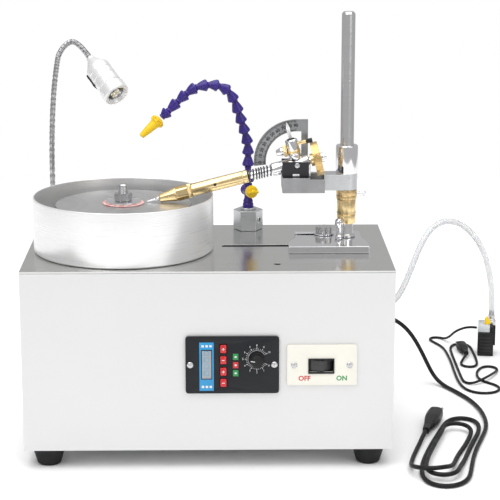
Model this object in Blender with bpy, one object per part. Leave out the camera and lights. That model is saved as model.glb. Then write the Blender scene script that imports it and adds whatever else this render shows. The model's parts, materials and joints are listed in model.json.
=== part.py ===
"""Gem faceting and lap-grinding machine, modelled as separate named parts.

Dimensions are in millimetres and scaled by MM where a mesh is made.
World axes: +X to the machine's right, -Y to its front, +Z up, z = 0 on the bench under the feet.
Lengths along Y are measured from the front face of the case, and FRONT shifts them so that the
origin lies under the middle of the machine.
"""
import math

import bmesh
import bpy
from mathutils import Matrix, Vector

MM = 0.001
GAP = 0.3                       # clearance left between pieces that touch

# Case
CASE_W, CASE_D = 400.0, 225.0
FOOT_H = 21.0
DECK_TOP = 221.0
SHEET = 2.0                     # thickness of the sheet metal
KNOB_REACH = 16.5               # how far the speed knob stands in front of the case
REAR_REACH = 22.0               # how far the rear fittings stand behind it
FRONT = (KNOB_REACH - CASE_D - REAR_REACH) / 2.0

# Grinding head
SPINDLE_X, SPINDLE_Y = -94.0, 107.0
BOWL_R, BOWL_H, BOWL_WALL = 100.0, 60.8, 1.8
LAP_R, LAP_TOP = 75.0, 272.7
SHAFT_R = 5.4

# Faceting head: mast, arm and quill
MAST_X, MAST_Y, MAST_R, MAST_TOP = 155.5, 130.0, 7.5, 482.0
BASE_TOP = 229.0                # top of the sliding base plate
PIVOT_X, PIVOT_Y, PIVOT_Z = 98.6, 110.0, 316.0
TILT = math.radians(14.2)       # the quill points this far below level
WHEEL_R = 19.0
PROTRACTOR_R = 47.5

# Front panel
PANEL_X0, PANEL_X1, PANEL_Z0, PANEL_Z1 = -24.3, 76.1, 86.4, 149.8
KEY_X, KEY_W, KEY_H = 16.3, 6.2, 9.0
KEY_HEIGHTS = (135.2, 122.8, 110.0, 97.4)
KNOB_X, KNOB_Z, KNOB_R = 52.2, 124.9, 7.6
SWITCH_X0, SWITCH_X1, SWITCH_Z0, SWITCH_Z1 = 84.6, 159.7, 95.1, 140.1
ROCKER_X, ROCKER_Z = 121.4, 116.4

# Water and power fittings
BLOCK_X, BLOCK_Y, BLOCK_R, BLOCK_TOP = 46.0, 205.0, 17.3, 244.5
GLAND_X, GLAND_Z = 158.0, 88.0
PORT_X, PORT_Z = 186.0, 97.0
MAINS_D, PUMP_CORD_D, HOSE_D = 5.0, 3.2, 7.4
LAMP_X, LAMP_Y = -181.0, 200.0

FINISHES = {                    # base colour, metallic, roughness
    "brushed_steel": ((0.72, 0.72, 0.71), 1.0, 0.32),
    "case_metal": ((0.80, 0.80, 0.80), 0.6, 0.45),
    "chrome": ((0.85, 0.85, 0.86), 1.0, 0.08),
    "aluminium": ((0.70, 0.71, 0.72), 1.0, 0.38),
    "brass": ((0.83, 0.64, 0.34), 1.0, 0.22),
    "dark_metal": ((0.10, 0.10, 0.11), 0.6, 0.50),
    "black_rubber": ((0.03, 0.03, 0.03), 0.0, 0.75),
    "black_plastic": ((0.06, 0.06, 0.065), 0.0, 0.42),
    "ivory_plastic": ((0.86, 0.85, 0.80), 0.0, 0.40),
    "red_plastic": ((0.75, 0.04, 0.03), 0.0, 0.25),
    "blue_plastic": ((0.14, 0.09, 0.42), 0.0, 0.38),
    "yellow_plastic": ((0.95, 0.66, 0.04), 0.0, 0.38),
    "clear_hose": ((0.85, 0.88, 0.90), 0.0, 0.20),
    "lens": ((0.20, 0.22, 0.24), 0.0, 0.08),
    "paper": ((0.92, 0.90, 0.87), 0.0, 0.70),
}


# ---------------------------------------------------------------- helpers

def clear_scene():
    for thing in list(bpy.data.objects):
        bpy.data.objects.remove(thing)


def at(x, y, z):
    """A place in the machine's own millimetres, y from the case's front, as a world point."""
    return Vector((x, y + FRONT, z)) * MM


def finish(slot):
    """The material of a slot, made the first time it is asked for."""
    if slot in bpy.data.materials:
        return bpy.data.materials[slot]
    colour, metallic, roughness = FINISHES[slot]
    material = bpy.data.materials.new(slot)
    material.use_nodes = True
    shader = material.node_tree.nodes["Principled BSDF"]
    shader.inputs["Base Color"].default_value = (*colour, 1.0)
    shader.inputs["Metallic"].default_value = metallic
    shader.inputs["Roughness"].default_value = roughness
    return material


def piece(name, slot, bm, place=Matrix.Identity(4), smooth=False):
    """Turn a bmesh into a placed object; with no slot it is a cutter or a shape to be joined on."""
    bmesh.ops.recalc_face_normals(bm, faces=bm.faces)
    mesh = bpy.data.meshes.new(name)
    bm.to_mesh(mesh)
    bm.free()
    made = bpy.data.objects.new(name, mesh)
    bpy.context.collection.objects.link(made)
    made.matrix_world = place
    if slot is None:
        made.hide_render = True
        made.display_type = "WIRE"
    else:
        mesh.materials.append(finish(slot))
    if smooth:
        mesh.shade_smooth()
        mesh.set_sharp_from_angle(angle=math.radians(40))
    return made


def facing(base, axis):
    """The placing that puts a shape's own origin at base and its own Z along axis."""
    turn = Vector((0, 0, 1)).rotation_difference(Vector(axis)).to_matrix().to_4x4()
    return Matrix.Translation(base) @ turn


def turned(name, slot, profile, base, axis=(0, 0, 1), sides=24):
    """A turned part; profile lists (radius, height), and a bored part's profile is a closed loop."""
    bm = bmesh.new()
    rim = [bm.verts.new((radius * MM, 0, height * MM)) for radius, height in profile]
    edges = [bm.edges.new(pair) for pair in zip(rim, rim[1:])]
    if profile[0][0] > 0 and profile[-1][0] > 0:
        edges.append(bm.edges.new((rim[-1], rim[0])))
    bmesh.ops.spin(bm, geom=rim + edges, cent=(0, 0, 0), axis=(0, 0, 1), dvec=(0, 0, 0),
                   angle=2 * math.pi, steps=sides, use_merge=True)
    bmesh.ops.remove_doubles(bm, verts=bm.verts, dist=1e-6)
    bmesh.ops.dissolve_degenerate(bm, edges=bm.edges, dist=1e-6)
    return piece(name, slot, bm, facing(base, axis), smooth=True)


def prism(name, slot, outline, length, place):
    """An outline in its own XY plane, extruded along its own Z."""
    bm = bmesh.new()
    corners = [bm.verts.new((x * MM, y * MM, 0)) for x, y in outline]
    face = bm.faces.new(corners)
    raised = bmesh.ops.extrude_face_region(bm, geom=[face])["geom"]
    tops = [item for item in raised if isinstance(item, bmesh.types.BMVert)]
    bmesh.ops.translate(bm, verts=tops, vec=(0, 0, length * MM))
    return piece(name, slot, bm, place)


def plan(name, slot, outline, z0, z1):
    """An outline seen from above, standing between two heights."""
    return prism(name, slot, outline, z1 - z0, Matrix.Translation(at(0, 0, z0)))


def elevation(name, slot, outline, y0, y1):
    """An outline of (x, z) seen from the front, between two depths."""
    upright = Matrix.Translation(at(0, y1, 0)) @ Matrix.Rotation(math.pi / 2, 4, "X")
    return prism(name, slot, outline, y1 - y0, upright)


def block(name, slot, low, high, bevel=0.0):
    """A box between two corners given as (x, y, z), with its edges eased by a bevel."""
    size = [b - a for a, b in zip(low, high)]
    middle = [(a + b) / 2 for a, b in zip(low, high)]
    bm = bmesh.new()
    bmesh.ops.create_cube(bm, size=1.0, matrix=Matrix.Diagonal((*[s * MM for s in size], 1)))
    made = piece(name, slot, bm, Matrix.Translation(at(*middle)))
    if bevel:
        edge = made.modifiers.new("eased_edges", "BEVEL")
        edge.width = bevel * MM
        edge.segments = 1
    return made


def regular(sides, radius, x=0.0, y=0.0, start=0.0):
    """The corners of a regular polygon."""
    turns = [start + 2 * math.pi * i / sides for i in range(sides)]
    return [(x + radius * math.cos(a), y + radius * math.sin(a)) for a in turns]


def combine(target, other, operation):
    step = target.modifiers.new(operation.lower(), "BOOLEAN")
    step.operation = operation
    step.object = other
    step.solver = "EXACT"
    other.parent = target
    other.matrix_parent_inverse = target.matrix_world.inverted()


def cut(target, *others):
    for other in others:
        combine(target, other, "DIFFERENCE")


def weld(target, *others):
    for other in others:
        combine(target, other, "UNION")


def bore(name, base, axis, radius, depth, sides=20):
    """A round cutter that starts a little outside base and runs depth along axis."""
    return turned(name, None, [(0, -1), (radius, -1), (radius, depth), (0, depth)], base, axis, sides)


def smooth_route(points, spacing):
    """Points every spacing millimetres along a smooth curve through the given ones."""
    pts = [Vector(p) for p in points]
    pts = [2 * pts[0] - pts[1]] + pts + [2 * pts[-1] - pts[-2]]
    fine = []
    for a, b, c, d in zip(pts, pts[1:], pts[2:], pts[3:]):
        for i in range(24):
            t = i / 24
            fine.append(0.5 * ((2 * b) + (c - a) * t + (2 * a - 5 * b + 4 * c - d) * t ** 2
                               + (3 * b - a - 3 * c + d) * t ** 3))
    fine.append(pts[-2])
    length = sum((b - a).length for a, b in zip(fine, fine[1:]))
    count = max(2, round(length / spacing))
    route, walked, goal = [fine[0]], 0.0, length / count
    for a, b in zip(fine, fine[1:]):
        walked += (b - a).length
        if walked >= goal * len(route) and len(route) < count:
            route.append(b)
    return route + [fine[-1]]


def flexible(name, slot, route, diameter, spacing, sides=2):
    """A cord, hose or bent rod: a round bevel along a smooth route, with closed ends."""
    curve = bpy.data.curves.new(name, "CURVE")
    curve.dimensions = "3D"
    curve.bevel_depth = diameter / 2 * MM
    curve.bevel_resolution = sides
    curve.use_fill_caps = True
    spline = curve.splines.new("POLY")
    points = smooth_route(route, spacing)
    spline.points.add(len(points) - 1)
    for knot, (x, y, z) in zip(spline.points, points):
        knot.co = (*at(x, y, z), 1)
    made = bpy.data.objects.new(name, curve)
    bpy.context.collection.objects.link(made)
    curve.materials.append(finish(slot))
    return made


def group(name, place, members, parent=None):
    """An empty on a moving body's joint axis, with that body's pieces parented to it."""
    holder = bpy.data.objects.new(name, None)
    holder.empty_display_size = 0.01
    bpy.context.collection.objects.link(holder)
    holder.matrix_world = place
    for member in members:
        member.parent = holder
        member.matrix_parent_inverse = place.inverted()
    if parent is not None:
        holder.parent = parent
        holder.matrix_parent_inverse = parent.matrix_world.inverted()
    return holder


# ---------------------------------------------------------------- the case

def make_case():
    half = CASE_W / 2
    floor = FOOT_H + SHEET
    shell = block("case_shell", "case_metal", (-half, 0, FOOT_H), (half, CASE_D, DECK_TOP - SHEET - GAP))
    inside = block("case_inside", None, (-half + SHEET, SHEET, floor),
                   (half - SHEET, CASE_D - SHEET, DECK_TOP + 10))
    module = block("module_opening", None, (-20, -5, 92), (72, 5, 144))
    rocker = block("rocker_opening", None, (107, -5, 108), (136, 5, 125))
    gland = bore("gland_hole", at(GLAND_X, CASE_D - 5, GLAND_Z), (0, 1, 0), 6.0, 12)
    port = bore("port_hole", at(PORT_X, CASE_D - 5, PORT_Z), (0, 1, 0), 4.0, 12)
    cut(shell, inside, module, rocker, gland, port)

    deck = block("deck_plate", "brushed_steel", (-half, 0, DECK_TOP - SHEET), (half, CASE_D, DECK_TOP))
    cut(deck,
        bore("spindle_hole", at(SPINDLE_X, SPINDLE_Y, DECK_TOP - 5), (0, 0, 1), 18, 12, 28),
        block("guide_slot", None, (15.6, 112.8, 200), (165, 121.6, 240)),
        block("clamp_slot", None, (114, 134.7, 200), (150, 145.3, 240)),
        bore("overflow_hole", at(75, 31.5, DECK_TOP - 5), (0, 0, 1), 3.8, 12, 12))

    for side, x in (("left", -175), ("right", 175)):
        for end, y in (("front", 22), ("rear", CASE_D - 22)):
            turned(f"foot_{end}_{side}", "black_rubber",
                   [(0, 0), (11, 0), (13, 2), (18, FOOT_H - 2), (18, FOOT_H - GAP), (0, FOOT_H - GAP)],
                   at(x, y, 0), sides=20)


def make_rear_fittings():
    """The mains cord's strain relief and the hose port, each with a neck through the rear wall."""
    outside = CASE_D + GAP
    turned("cable_gland", "black_plastic",
           [(0, -8), (5.5, -8), (5.5, 0), (10, 0), (10, 5), (7.5, 6), (5.2, REAR_REACH - GAP),
            (0, REAR_REACH - GAP)], at(GLAND_X, outside, GLAND_Z), (0, 1, 0), 18)
    turned("hose_port", "brass",
           [(0, -10), (3.6, -10), (3.6, 0), (8, 0), (8, 4), (4.5, 4.5), (4.5, 11), (3.4, 16.8), (0, 16.8)],
           at(PORT_X, outside, PORT_Z), (0, 1, 0), 16)


# ---------------------------------------------------------------- front panel

def make_control_panel():
    panel = block("control_panel", "black_plastic", (PANEL_X0, -3.3, PANEL_Z0), (PANEL_X1, -GAP, PANEL_Z1), 1.0)
    weld(panel, block("control_module", None, (-19, -1.5, 93), (71, 44, 143)))
    keys = []
    for number, z in enumerate(KEY_HEIGHTS, 1):
        half_w, half_h = KEY_W / 2, KEY_H / 2
        cut(panel, block(f"key_pocket_{number}", None, (KEY_X - half_w - 0.4, -9, z - half_h - 0.4),
                         (KEY_X + half_w + 0.4, 1.0, z + half_h + 0.4)))
        keys.append(block(f"panel_key_{number}", "red_plastic", (KEY_X - half_w, -4.8, z - half_h),
                          (KEY_X + half_w, -0.8, z + half_h), 0.5))
    knob = turned("speed_knob", "black_plastic",
                  [(0, 0), (KNOB_R, 0), (KNOB_R, 2), (6.6, 3), (6.0, 12), (5.2, KNOB_REACH - 3.6),
                   (0, KNOB_REACH - 3.6)], at(KNOB_X, -3.6, KNOB_Z), (0, -1, 0), 20)
    group("speed_knob_axis", Matrix.Translation(at(KNOB_X, 0, KNOB_Z)), [knob])


def make_mains_switch():
    plate = block("switch_plate", "ivory_plastic", (SWITCH_X0, -2.8, SWITCH_Z0), (SWITCH_X1, -GAP, SWITCH_Z1), 0.8)
    weld(plate, block("switch_body", None, (107.5, -1.5, 108.5), (135.5, 25, 124.5)))
    cut(plate, block("rocker_pocket", None, (109.1, -9, 110.2), (133.7, 7, 122.7)))
    outline = [(-11.8, 1.2), (0, -4.0), (11.8, 1.2), (11.8, 2.2), (0, 4.2), (-11.8, 2.2)]
    lean = math.radians(7)
    base = Matrix.Translation(at(ROCKER_X, 0, 110.7)) @ Matrix.Rotation(lean, 4, "Z")
    rocker = prism("rocker_switch", "black_plastic", outline, 11.5, base)
    group("rocker_axis", Matrix.Translation(at(ROCKER_X, 0, ROCKER_Z)), [rocker])


# ---------------------------------------------------------------- grinding side

def make_bowl():
    top, wall = DECK_TOP + BOWL_H + GAP, BOWL_WALL
    foot = DECK_TOP + GAP
    collar = 24.0
    profile = [(collar - 2, foot), (BOWL_R - 2, foot), (BOWL_R, foot + 2), (BOWL_R, top - 0.8),
               (BOWL_R - 0.9, top), (BOWL_R - wall, top - 0.8), (BOWL_R - wall, foot + 3.5),
               (BOWL_R - 3.5, foot + 2), (collar, foot + 2), (collar, foot + 24), (collar - 2, foot + 24)]
    turned("splash_bowl", "brushed_steel", profile, at(SPINDLE_X, SPINDLE_Y, 0), sides=40)


def make_spindle():
    centre = at(SPINDLE_X, SPINDLE_Y, 0)
    lap_bottom = LAP_TOP - 2
    turned("drive_motor", "dark_metal",
           [(0, 104), (30, 104), (32, 106), (32, 203), (24, 205), (24, 213), (45, 214), (45, 218.7),
            (6.5, 218.7), (6.5, 165), (0, 165)], centre, sides=24)
    shaft = turned("spindle_shaft", "brushed_steel",
                   [(0, 170), (6, 170), (6, 250), (18, 252), (20, 262), (68, 263), (68, lap_bottom - GAP),
                    (SHAFT_R, lap_bottom - GAP), (SHAFT_R, 292.5), (SHAFT_R - 2, 294.5), (0, 294.5)],
                   centre, sides=24)
    bored = SHAFT_R + GAP
    ring = [("lap_disc", "aluminium", LAP_R, lap_bottom, LAP_TOP, 36),
            ("paper_washer", "paper", 23.0, LAP_TOP + GAP, LAP_TOP + 1.1, 24),
            ("clamp_washer", "chrome", 19.5, LAP_TOP + 1.4, LAP_TOP + 3.2, 24)]
    turning = [shaft]
    for name, slot, radius, low, high, sides in ring:
        turning.append(turned(name, slot, [(bored, low), (radius, low), (radius, high), (bored, high)],
                              centre, sides=sides))
    nut = plan("spindle_nut", "chrome", regular(6, 10, SPINDLE_X, SPINDLE_Y, math.radians(8)),
               LAP_TOP + 3.5, LAP_TOP + 11.7)
    cut(nut, bore("nut_bore", at(SPINDLE_X, SPINDLE_Y, LAP_TOP), (0, 0, 1), bored, 20, 24))
    group("spindle_axis", Matrix.Translation(centre), turning + [nut])


# ---------------------------------------------------------------- lamp

LAMP_ROUTE = [(-181, 200, 236.4), (-180.8, 200, 260), (-180.4, 200, 321.7), (-177.3, 200, 377.6),
              (-171.9, 200, 418.3), (-167.5, 199, 430.5), (-160.8, 197.5, 438.3), (-153.1, 195, 441.5),
              (-145.4, 193.2, 437.2), (-138.4, 189.7, 430), (-133.6, 184, 424.6)]
LAMP_AIM = Vector((0.52, -0.62, -0.59)).normalized()
HEAD_R = 14.0
SWITCH_ALONG = 27.0             # from the lamp head's neck to the middle of its switch


def make_lamp():
    turned("lamp_base", "chrome", [(0, GAP), (14, GAP), (14, 6), (11, 8), (6, 14), (4, 15), (0, 15)],
           at(LAMP_X, LAMP_Y, DECK_TOP), sides=24)
    gooseneck = flexible("lamp_gooseneck", "chrome", LAMP_ROUTE, 6.5, 8.0)
    neck = at(*LAMP_ROUTE[-1]) + LAMP_AIM * 0.8 * MM
    head = turned("lamp_head", "aluminium",
                  [(0, 0), (4.5, 0), (4.5, 3), (11.5, 15), (HEAD_R, 22), (HEAD_R, 47), (13.2, 47.5),
                   (13.2, 49), (14.8, 49.5), (14.8, 61), (13.8, 62), (9.5, 62), (9.0, 57), (0, 57)],
                  neck, LAMP_AIM, 24)
    lens = turned("lamp_lens", "lens", [(0, 57.3), (8.6, 57.3), (8.8, 59), (5, 60.6), (0, 61.1)], neck, LAMP_AIM, 20)
    outward = Vector((-0.83, 0, -0.56))
    outward = (outward - LAMP_AIM * outward.dot(LAMP_AIM)).normalized()
    across = LAMP_AIM.cross(outward)
    seat = neck + (LAMP_AIM * SWITCH_ALONG + outward * (HEAD_R - 0.4)) * MM
    axes = Matrix((LAMP_AIM, outward, across)).transposed().to_4x4()
    place = Matrix.Translation(seat - across * 3 * MM) @ axes
    pocket = prism("lamp_pocket", None, [(-7.6, -2.4), (7.6, -2.4), (7.6, 4), (-7.6, 4)], 6.8,
                   Matrix.Translation(seat - across * 3.4 * MM) @ axes)
    cut(head, pocket)
    switch = prism("lamp_switch", "red_plastic",
                   [(-7, 0.5), (0, -0.4), (7, 0.5), (7, 1.6), (0, 1.0), (-7, 1.6)], 6.0, place)
    swing = group("lamp_swing", Matrix.Translation(at(*LAMP_ROUTE[0])), [gooseneck, head, lens])
    group("lamp_switch_axis", Matrix.Translation(seat), [switch], swing)


# ---------------------------------------------------------------- water feed

JET_ROUTE = [(46, 205, 276.6), (46, 205, 296), (46, 203.9, 310.4), (45.1, 202, 323.6), (42, 199.7, 336.6),
             (38.3, 197.2, 349), (34.5, 194.6, 361.5), (29.5, 191.4, 375.1), (22.1, 188.2, 386.2),
             (11, 185, 392.3), (-1.3, 181.8, 393.4), (-14.2, 178.1, 390.9), (-25.3, 174.3, 384),
             (-35.1, 170.4, 375.4), (-45.5, 166, 365.6), (-52.5, 163.2, 359.5)]
JET_LINKS = 15
JET_LINK_RINGS = ((0.0, 4.1), (0.08, 6.2), (0.5, 5.6), (0.96, 4.2))   # place along a link, radius
VALVE_Z = 266.8
VALVE_AIM = Vector((0.42, -0.907, 0))


def make_jet_hose():
    """Fifteen bell-shaped links snapped together, as one bent string with a ring for each step."""
    per_link = 25
    path = smooth_route(JET_ROUTE, 0.5)
    steps = JET_LINKS * per_link
    bm = bmesh.new()
    rings = []
    for link in range(JET_LINKS):
        for along, radius in JET_LINK_RINGS:
            step = (link + along) * per_link / steps * (len(path) - 2)
            low = int(step)
            spot = path[low].lerp(path[low + 1], step - low)
            ahead = path[min(low + 4, len(path) - 1)] - path[max(low - 4, 0)]
            side = Vector((0.25, 0.93, 0.1)).cross(ahead).normalized()
            up = ahead.normalized().cross(side)
            ring = []
            for i in range(10):
                turn = 2 * math.pi * i / 10
                edge = spot + (side * math.cos(turn) + up * math.sin(turn)) * radius
                ring.append(bm.verts.new(at(*edge)))
            rings.append(ring)
    for low, high in zip(rings, rings[1:]):
        for i in range(10):
            j = (i + 1) % 10
            bm.faces.new((low[i], low[j], high[j], high[i]))
    bm.faces.new(rings[0])
    bm.faces.new(rings[-1])
    return piece("jet_hose", "blue_plastic", bm, smooth=True)


def make_water_feed():
    manifold = plan("water_manifold", "aluminium", regular(6, BLOCK_R, BLOCK_X, BLOCK_Y), DECK_TOP + GAP, BLOCK_TOP)
    face = (math.cos(math.radians(-30)), math.sin(math.radians(-30)), 0)
    flat = BLOCK_R * math.cos(math.radians(30))
    cut(manifold, bore("manifold_port", at(BLOCK_X + flat * face[0] - 8 * face[0],
                                           BLOCK_Y + flat * face[1] - 8 * face[1], 233), face, 2.4, 12, 12))
    valve = turned("valve_body", "blue_plastic",
                   [(0, BLOCK_TOP + GAP), (5.6, BLOCK_TOP + GAP), (6.3, 246.5), (6.0, 252), (4.4, 256),
                    (4.4, 275.3), (0, 275.3)], at(BLOCK_X, BLOCK_Y, 0), sides=16)
    barrel = at(BLOCK_X, BLOCK_Y, VALVE_Z) - VALVE_AIM * 8.5 * MM
    weld(valve, turned("valve_barrel", None, [(0, 0), (5.6, 0), (6.6, 1.5), (6.6, 15), (0, 15)],
                       barrel, VALVE_AIM, 16))
    knob_base = at(BLOCK_X, BLOCK_Y, VALVE_Z) + VALVE_AIM * (6.5 + GAP) * MM
    knob = turned("valve_knob", "yellow_plastic",
                  [(0, 0), (6.9, 0), (7.4, 1.5), (7.4, 5), (6.2, 6.4), (3, 6.4), (2.4, 8.4), (0, 8.4)],
                  knob_base, VALVE_AIM, 20)
    weld(knob, prism("valve_grip", None, [(-7.2, -1.3), (7.2, -1.3), (7.2, 1.3), (-7.2, 1.3)], 4.5,
                     facing(knob_base + VALVE_AIM * 5 * MM, VALVE_AIM)))
    group("valve_axis", Matrix.Translation(knob_base), [knob])

    hose = make_jet_hose()
    tip = (Vector(JET_ROUTE[-1]) - Vector(JET_ROUTE[-2])).normalized()
    nozzle = turned("jet_nozzle", "yellow_plastic",
                    [(0, 0), (4.6, 0), (7.6, 3), (7.6, 7), (5.6, 9), (4.6, 18), (3.0, 30), (1.7, 30),
                     (1.7, 12), (0, 12)],
                    at(*JET_ROUTE[-1]) + tip * 1.4 * MM, tip, 16)
    jet = group("jet_swivel", Matrix.Translation(at(BLOCK_X, BLOCK_Y, 276)), [hose])
    group("nozzle_ball", Matrix.Translation(at(*JET_ROUTE[-1])), [nozzle], jet)


# ---------------------------------------------------------------- mast and arm

def make_mast():
    base = plan("mast_base", "chrome",
                [(89, 78), (178, 78), (178, 98), (172.5, 124), (172.5, 156), (98, 156), (98, 124), (89, 98)],
                DECK_TOP + GAP, BASE_TOP)
    weld(base, block("guide_tongue", None, (108, 113.6, DECK_TOP - 1.5), (152, 120.8, DECK_TOP + 2)))
    cut(base, block("clamp_notch", None, (90, 134.7, 215), (137, 145.3, 235)))
    bolt = turned("mast_clamp_bolt", "chrome",
                  [(0, 212), (9, 212), (9, DECK_TOP - SHEET - GAP), (4.8, DECK_TOP - SHEET - GAP),
                   (4.8, BASE_TOP + GAP), (11.7, BASE_TOP + GAP), (11.7, 231.2), (5, 231.2), (5, 234), (0, 234)],
                  at(131, 140, 0), sides=20)
    weld(bolt, plan("clamp_hex", None, regular(6, 10, 131, 140, math.radians(20)), 231, 238))
    lock = turned("mast_lock_screw", "chrome",
                  [(0, BASE_TOP + GAP), (4.4, BASE_TOP + GAP), (4.4, 233), (2.8, 233), (2.8, 243), (4.6, 245),
                   (4.9, 248), (4.0, 251), (2.2, 252.4), (0, 252.8)], at(146.5, 115, 0), sides=16)
    rod = turned("mast_rod", "chrome",
                 [(0, BASE_TOP + GAP), (10.5, BASE_TOP + GAP), (10.5, 231.8), (MAST_R, 232.3),
                  (MAST_R, MAST_TOP - 2.5), (MAST_R - 2, MAST_TOP), (0, MAST_TOP)], at(MAST_X, MAST_Y, 0))
    bored = MAST_R + GAP
    sleeve = turned("graduated_sleeve", "brass",
                    [(bored, 244.8), (10.6, 244.8), (10.6, 254.6), (10.0, 254.8), (10.0, 255.3), (10.6, 255.5),
                     (10.6, 271.7), (bored, 271.7)], at(MAST_X, MAST_Y, 0))
    collar = turned("height_collar", "brass",
                    [(bored, 272.0), (11, 272.0), (11.6, 272.6), (11.6, 283.0), (11, 283.5), (bored, 283.5)],
                    at(MAST_X, MAST_Y, 0))
    screw = turned("collar_lock_screw", "chrome",
                   [(0, 0), (2, 0), (2, 2), (3.6, 2.3), (3.6, 8.6), (2.8, 9.6), (0, 9.6)],
                   at(MAST_X + 11.9, MAST_Y, 278.4), (1, 0, 0), 14)
    slide = group("mast_slide", Matrix.Translation(at(MAST_X, MAST_Y, BASE_TOP)),
                  [base, bolt, rod, sleeve])
    height = group("arm_height", Matrix.Translation(at(MAST_X, MAST_Y, 272.0)), [collar], slide)
    group("collar_screw_axis", Matrix.Translation(at(MAST_X + 11.9, MAST_Y, 278.4)), [screw], height)
    group("lock_screw_axis", Matrix.Translation(at(146.5, 115, BASE_TOP)), [lock], slide)
    return height


def make_arm(height):
    under, hub_top, hub_r = 283.8, 333.3, 12.0
    arm = plan("carriage_arm", "aluminium",
               [(129.3, MAST_Y - hub_r), (MAST_X, MAST_Y - hub_r), (MAST_X, MAST_Y + hub_r),
                (129.3, MAST_Y + hub_r)], under, 301.5)
    weld(arm, turned("arm_hub", None, [(0, under), (hub_r, under), (hub_r, hub_top - 1), (hub_r - 1, hub_top),
                                       (0, hub_top)], at(MAST_X, MAST_Y, 0)))
    cut(arm, bore("arm_bore", at(MAST_X, MAST_Y, 270), (0, 0, 1), MAST_R + GAP, 90, 24))

    yoke = block("yoke_block", "aluminium", (82, 89.5, 286.5), (129, 136, 303.2))
    cut(yoke, block("wheel_notch", None, (112.8, 80, 301.8), (140, 140, 310)),
        block("wheel_pocket", None, (112.8, 91.5, 291.5), (140, 129, 310)))

    cheeks = block("pivot_cheeks", "dark_metal", (82, 97.5, 303.5), (111.5, 122.5, 319.7))
    cut(cheeks, block("cheek_channel", None, (70, 101.5, 305.6), (120, 118.5, 330)),
        block("cheek_front_gap", None, (70, 101.5, 290), (100, 118.5, 330)),
        bore("trunnion_hole", at(PIVOT_X, 90, PIVOT_Z), (0, 1, 0), 3.3, 50, 16))
    protractor = make_protractor()
    return group("arm_swivel", Matrix.Translation(at(MAST_X, MAST_Y, under)),
                 [arm, yoke, cheeks, protractor], height)


def make_protractor():
    """A quarter ring with an upright leg, behind the rear cheek."""
    inner = 34.0
    sweep = [math.radians(90 + 96 * i / 16) for i in range(17)]
    arc = [(PIVOT_X + PROTRACTOR_R * math.cos(a), PIVOT_Z + PROTRACTOR_R * math.sin(a)) for a in sweep]
    back = [(PIVOT_X + inner * math.cos(a), PIVOT_Z + inner * math.sin(a)) for a in reversed(sweep)]
    leg_left, leg_right = PIVOT_X + 5.4, PIVOT_X + 12.8
    leg = [(leg_left, PIVOT_Z + inner), (leg_left, PIVOT_Z - 10), (leg_right, PIVOT_Z - 10),
           (leg_right, PIVOT_Z + PROTRACTOR_R)]
    return elevation("protractor", "dark_metal", arc + back + leg, 122.8, 125.0)


# ---------------------------------------------------------------- tilting head and quill

TIP_WARD = Vector((-math.cos(TILT), 0, -math.sin(TILT)))    # along the quill, towards the stone
POINTER_WARD = Vector((-math.sin(TILT), 0, math.cos(TILT)))  # square to the quill, towards the scale


def on_quill(along, above=0.0, aside=0.0):
    """A point in the tilting head: along the quill, towards the scale, and towards the front."""
    return at(PIVOT_X, PIVOT_Y, PIVOT_Z) + (TIP_WARD * along + POINTER_WARD * above
                                            + Vector((0, -aside, 0))) * MM


def quill_bar(name, slot, low, high):
    """A box in the tilting head, between two corners given as (along, above, aside)."""
    axes = Matrix((TIP_WARD, POINTER_WARD, TIP_WARD.cross(POINTER_WARD))).transposed().to_4x4()
    outline = [(low[0], low[1]), (high[0], low[1]), (high[0], high[1]), (low[0], high[1])]
    flip = TIP_WARD.cross(POINTER_WARD).y
    start = high[2] if flip > 0 else low[2]
    return prism(name, slot, outline, high[2] - low[2],
                 Matrix.Translation(on_quill(0, 0, start)) @ axes)


def make_carrier():
    carrier = turned("quill_carrier", "chrome",
                     [(4.5, -14), (6.8, -14), (7.4, -13), (7.4, 27), (6.8, 28), (4.5, 28)],
                     on_quill(0), TIP_WARD)
    trunnion = [(0, 4.9), (3, 4.9), (3, 13.2), (0, 13.2)]
    weld(carrier,
         turned("front_trunnion", None, trunnion, on_quill(0), (0, -1, 0), 14),
         turned("rear_trunnion", None, trunnion[:2] + [(3, 12.3), (0, 12.3)], on_quill(0), (0, 1, 0), 14),
         turned("scale_post", None, [(0, 5), (7, 5), (7, 27), (6, 28), (0, 28)], on_quill(0), POINTER_WARD, 20),
         quill_bar("scale_pointer", None, (-2.2, 23, -7.4), (2.2, 45, -6.2)),
         quill_bar("index_pawl", None, (-23, 19.7, -2.5), (-5, 24, 2.5)))
    screw = turned("trim_screw", "brass",
                   [(0, 0), (6.7, 0), (6.7, 3.6), (4.8, 3.9), (4.8, 7), (3.0, 12), (0, 12)],
                   on_quill(7.3, 17.2), TIP_WARD, 18)
    return carrier, screw


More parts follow.
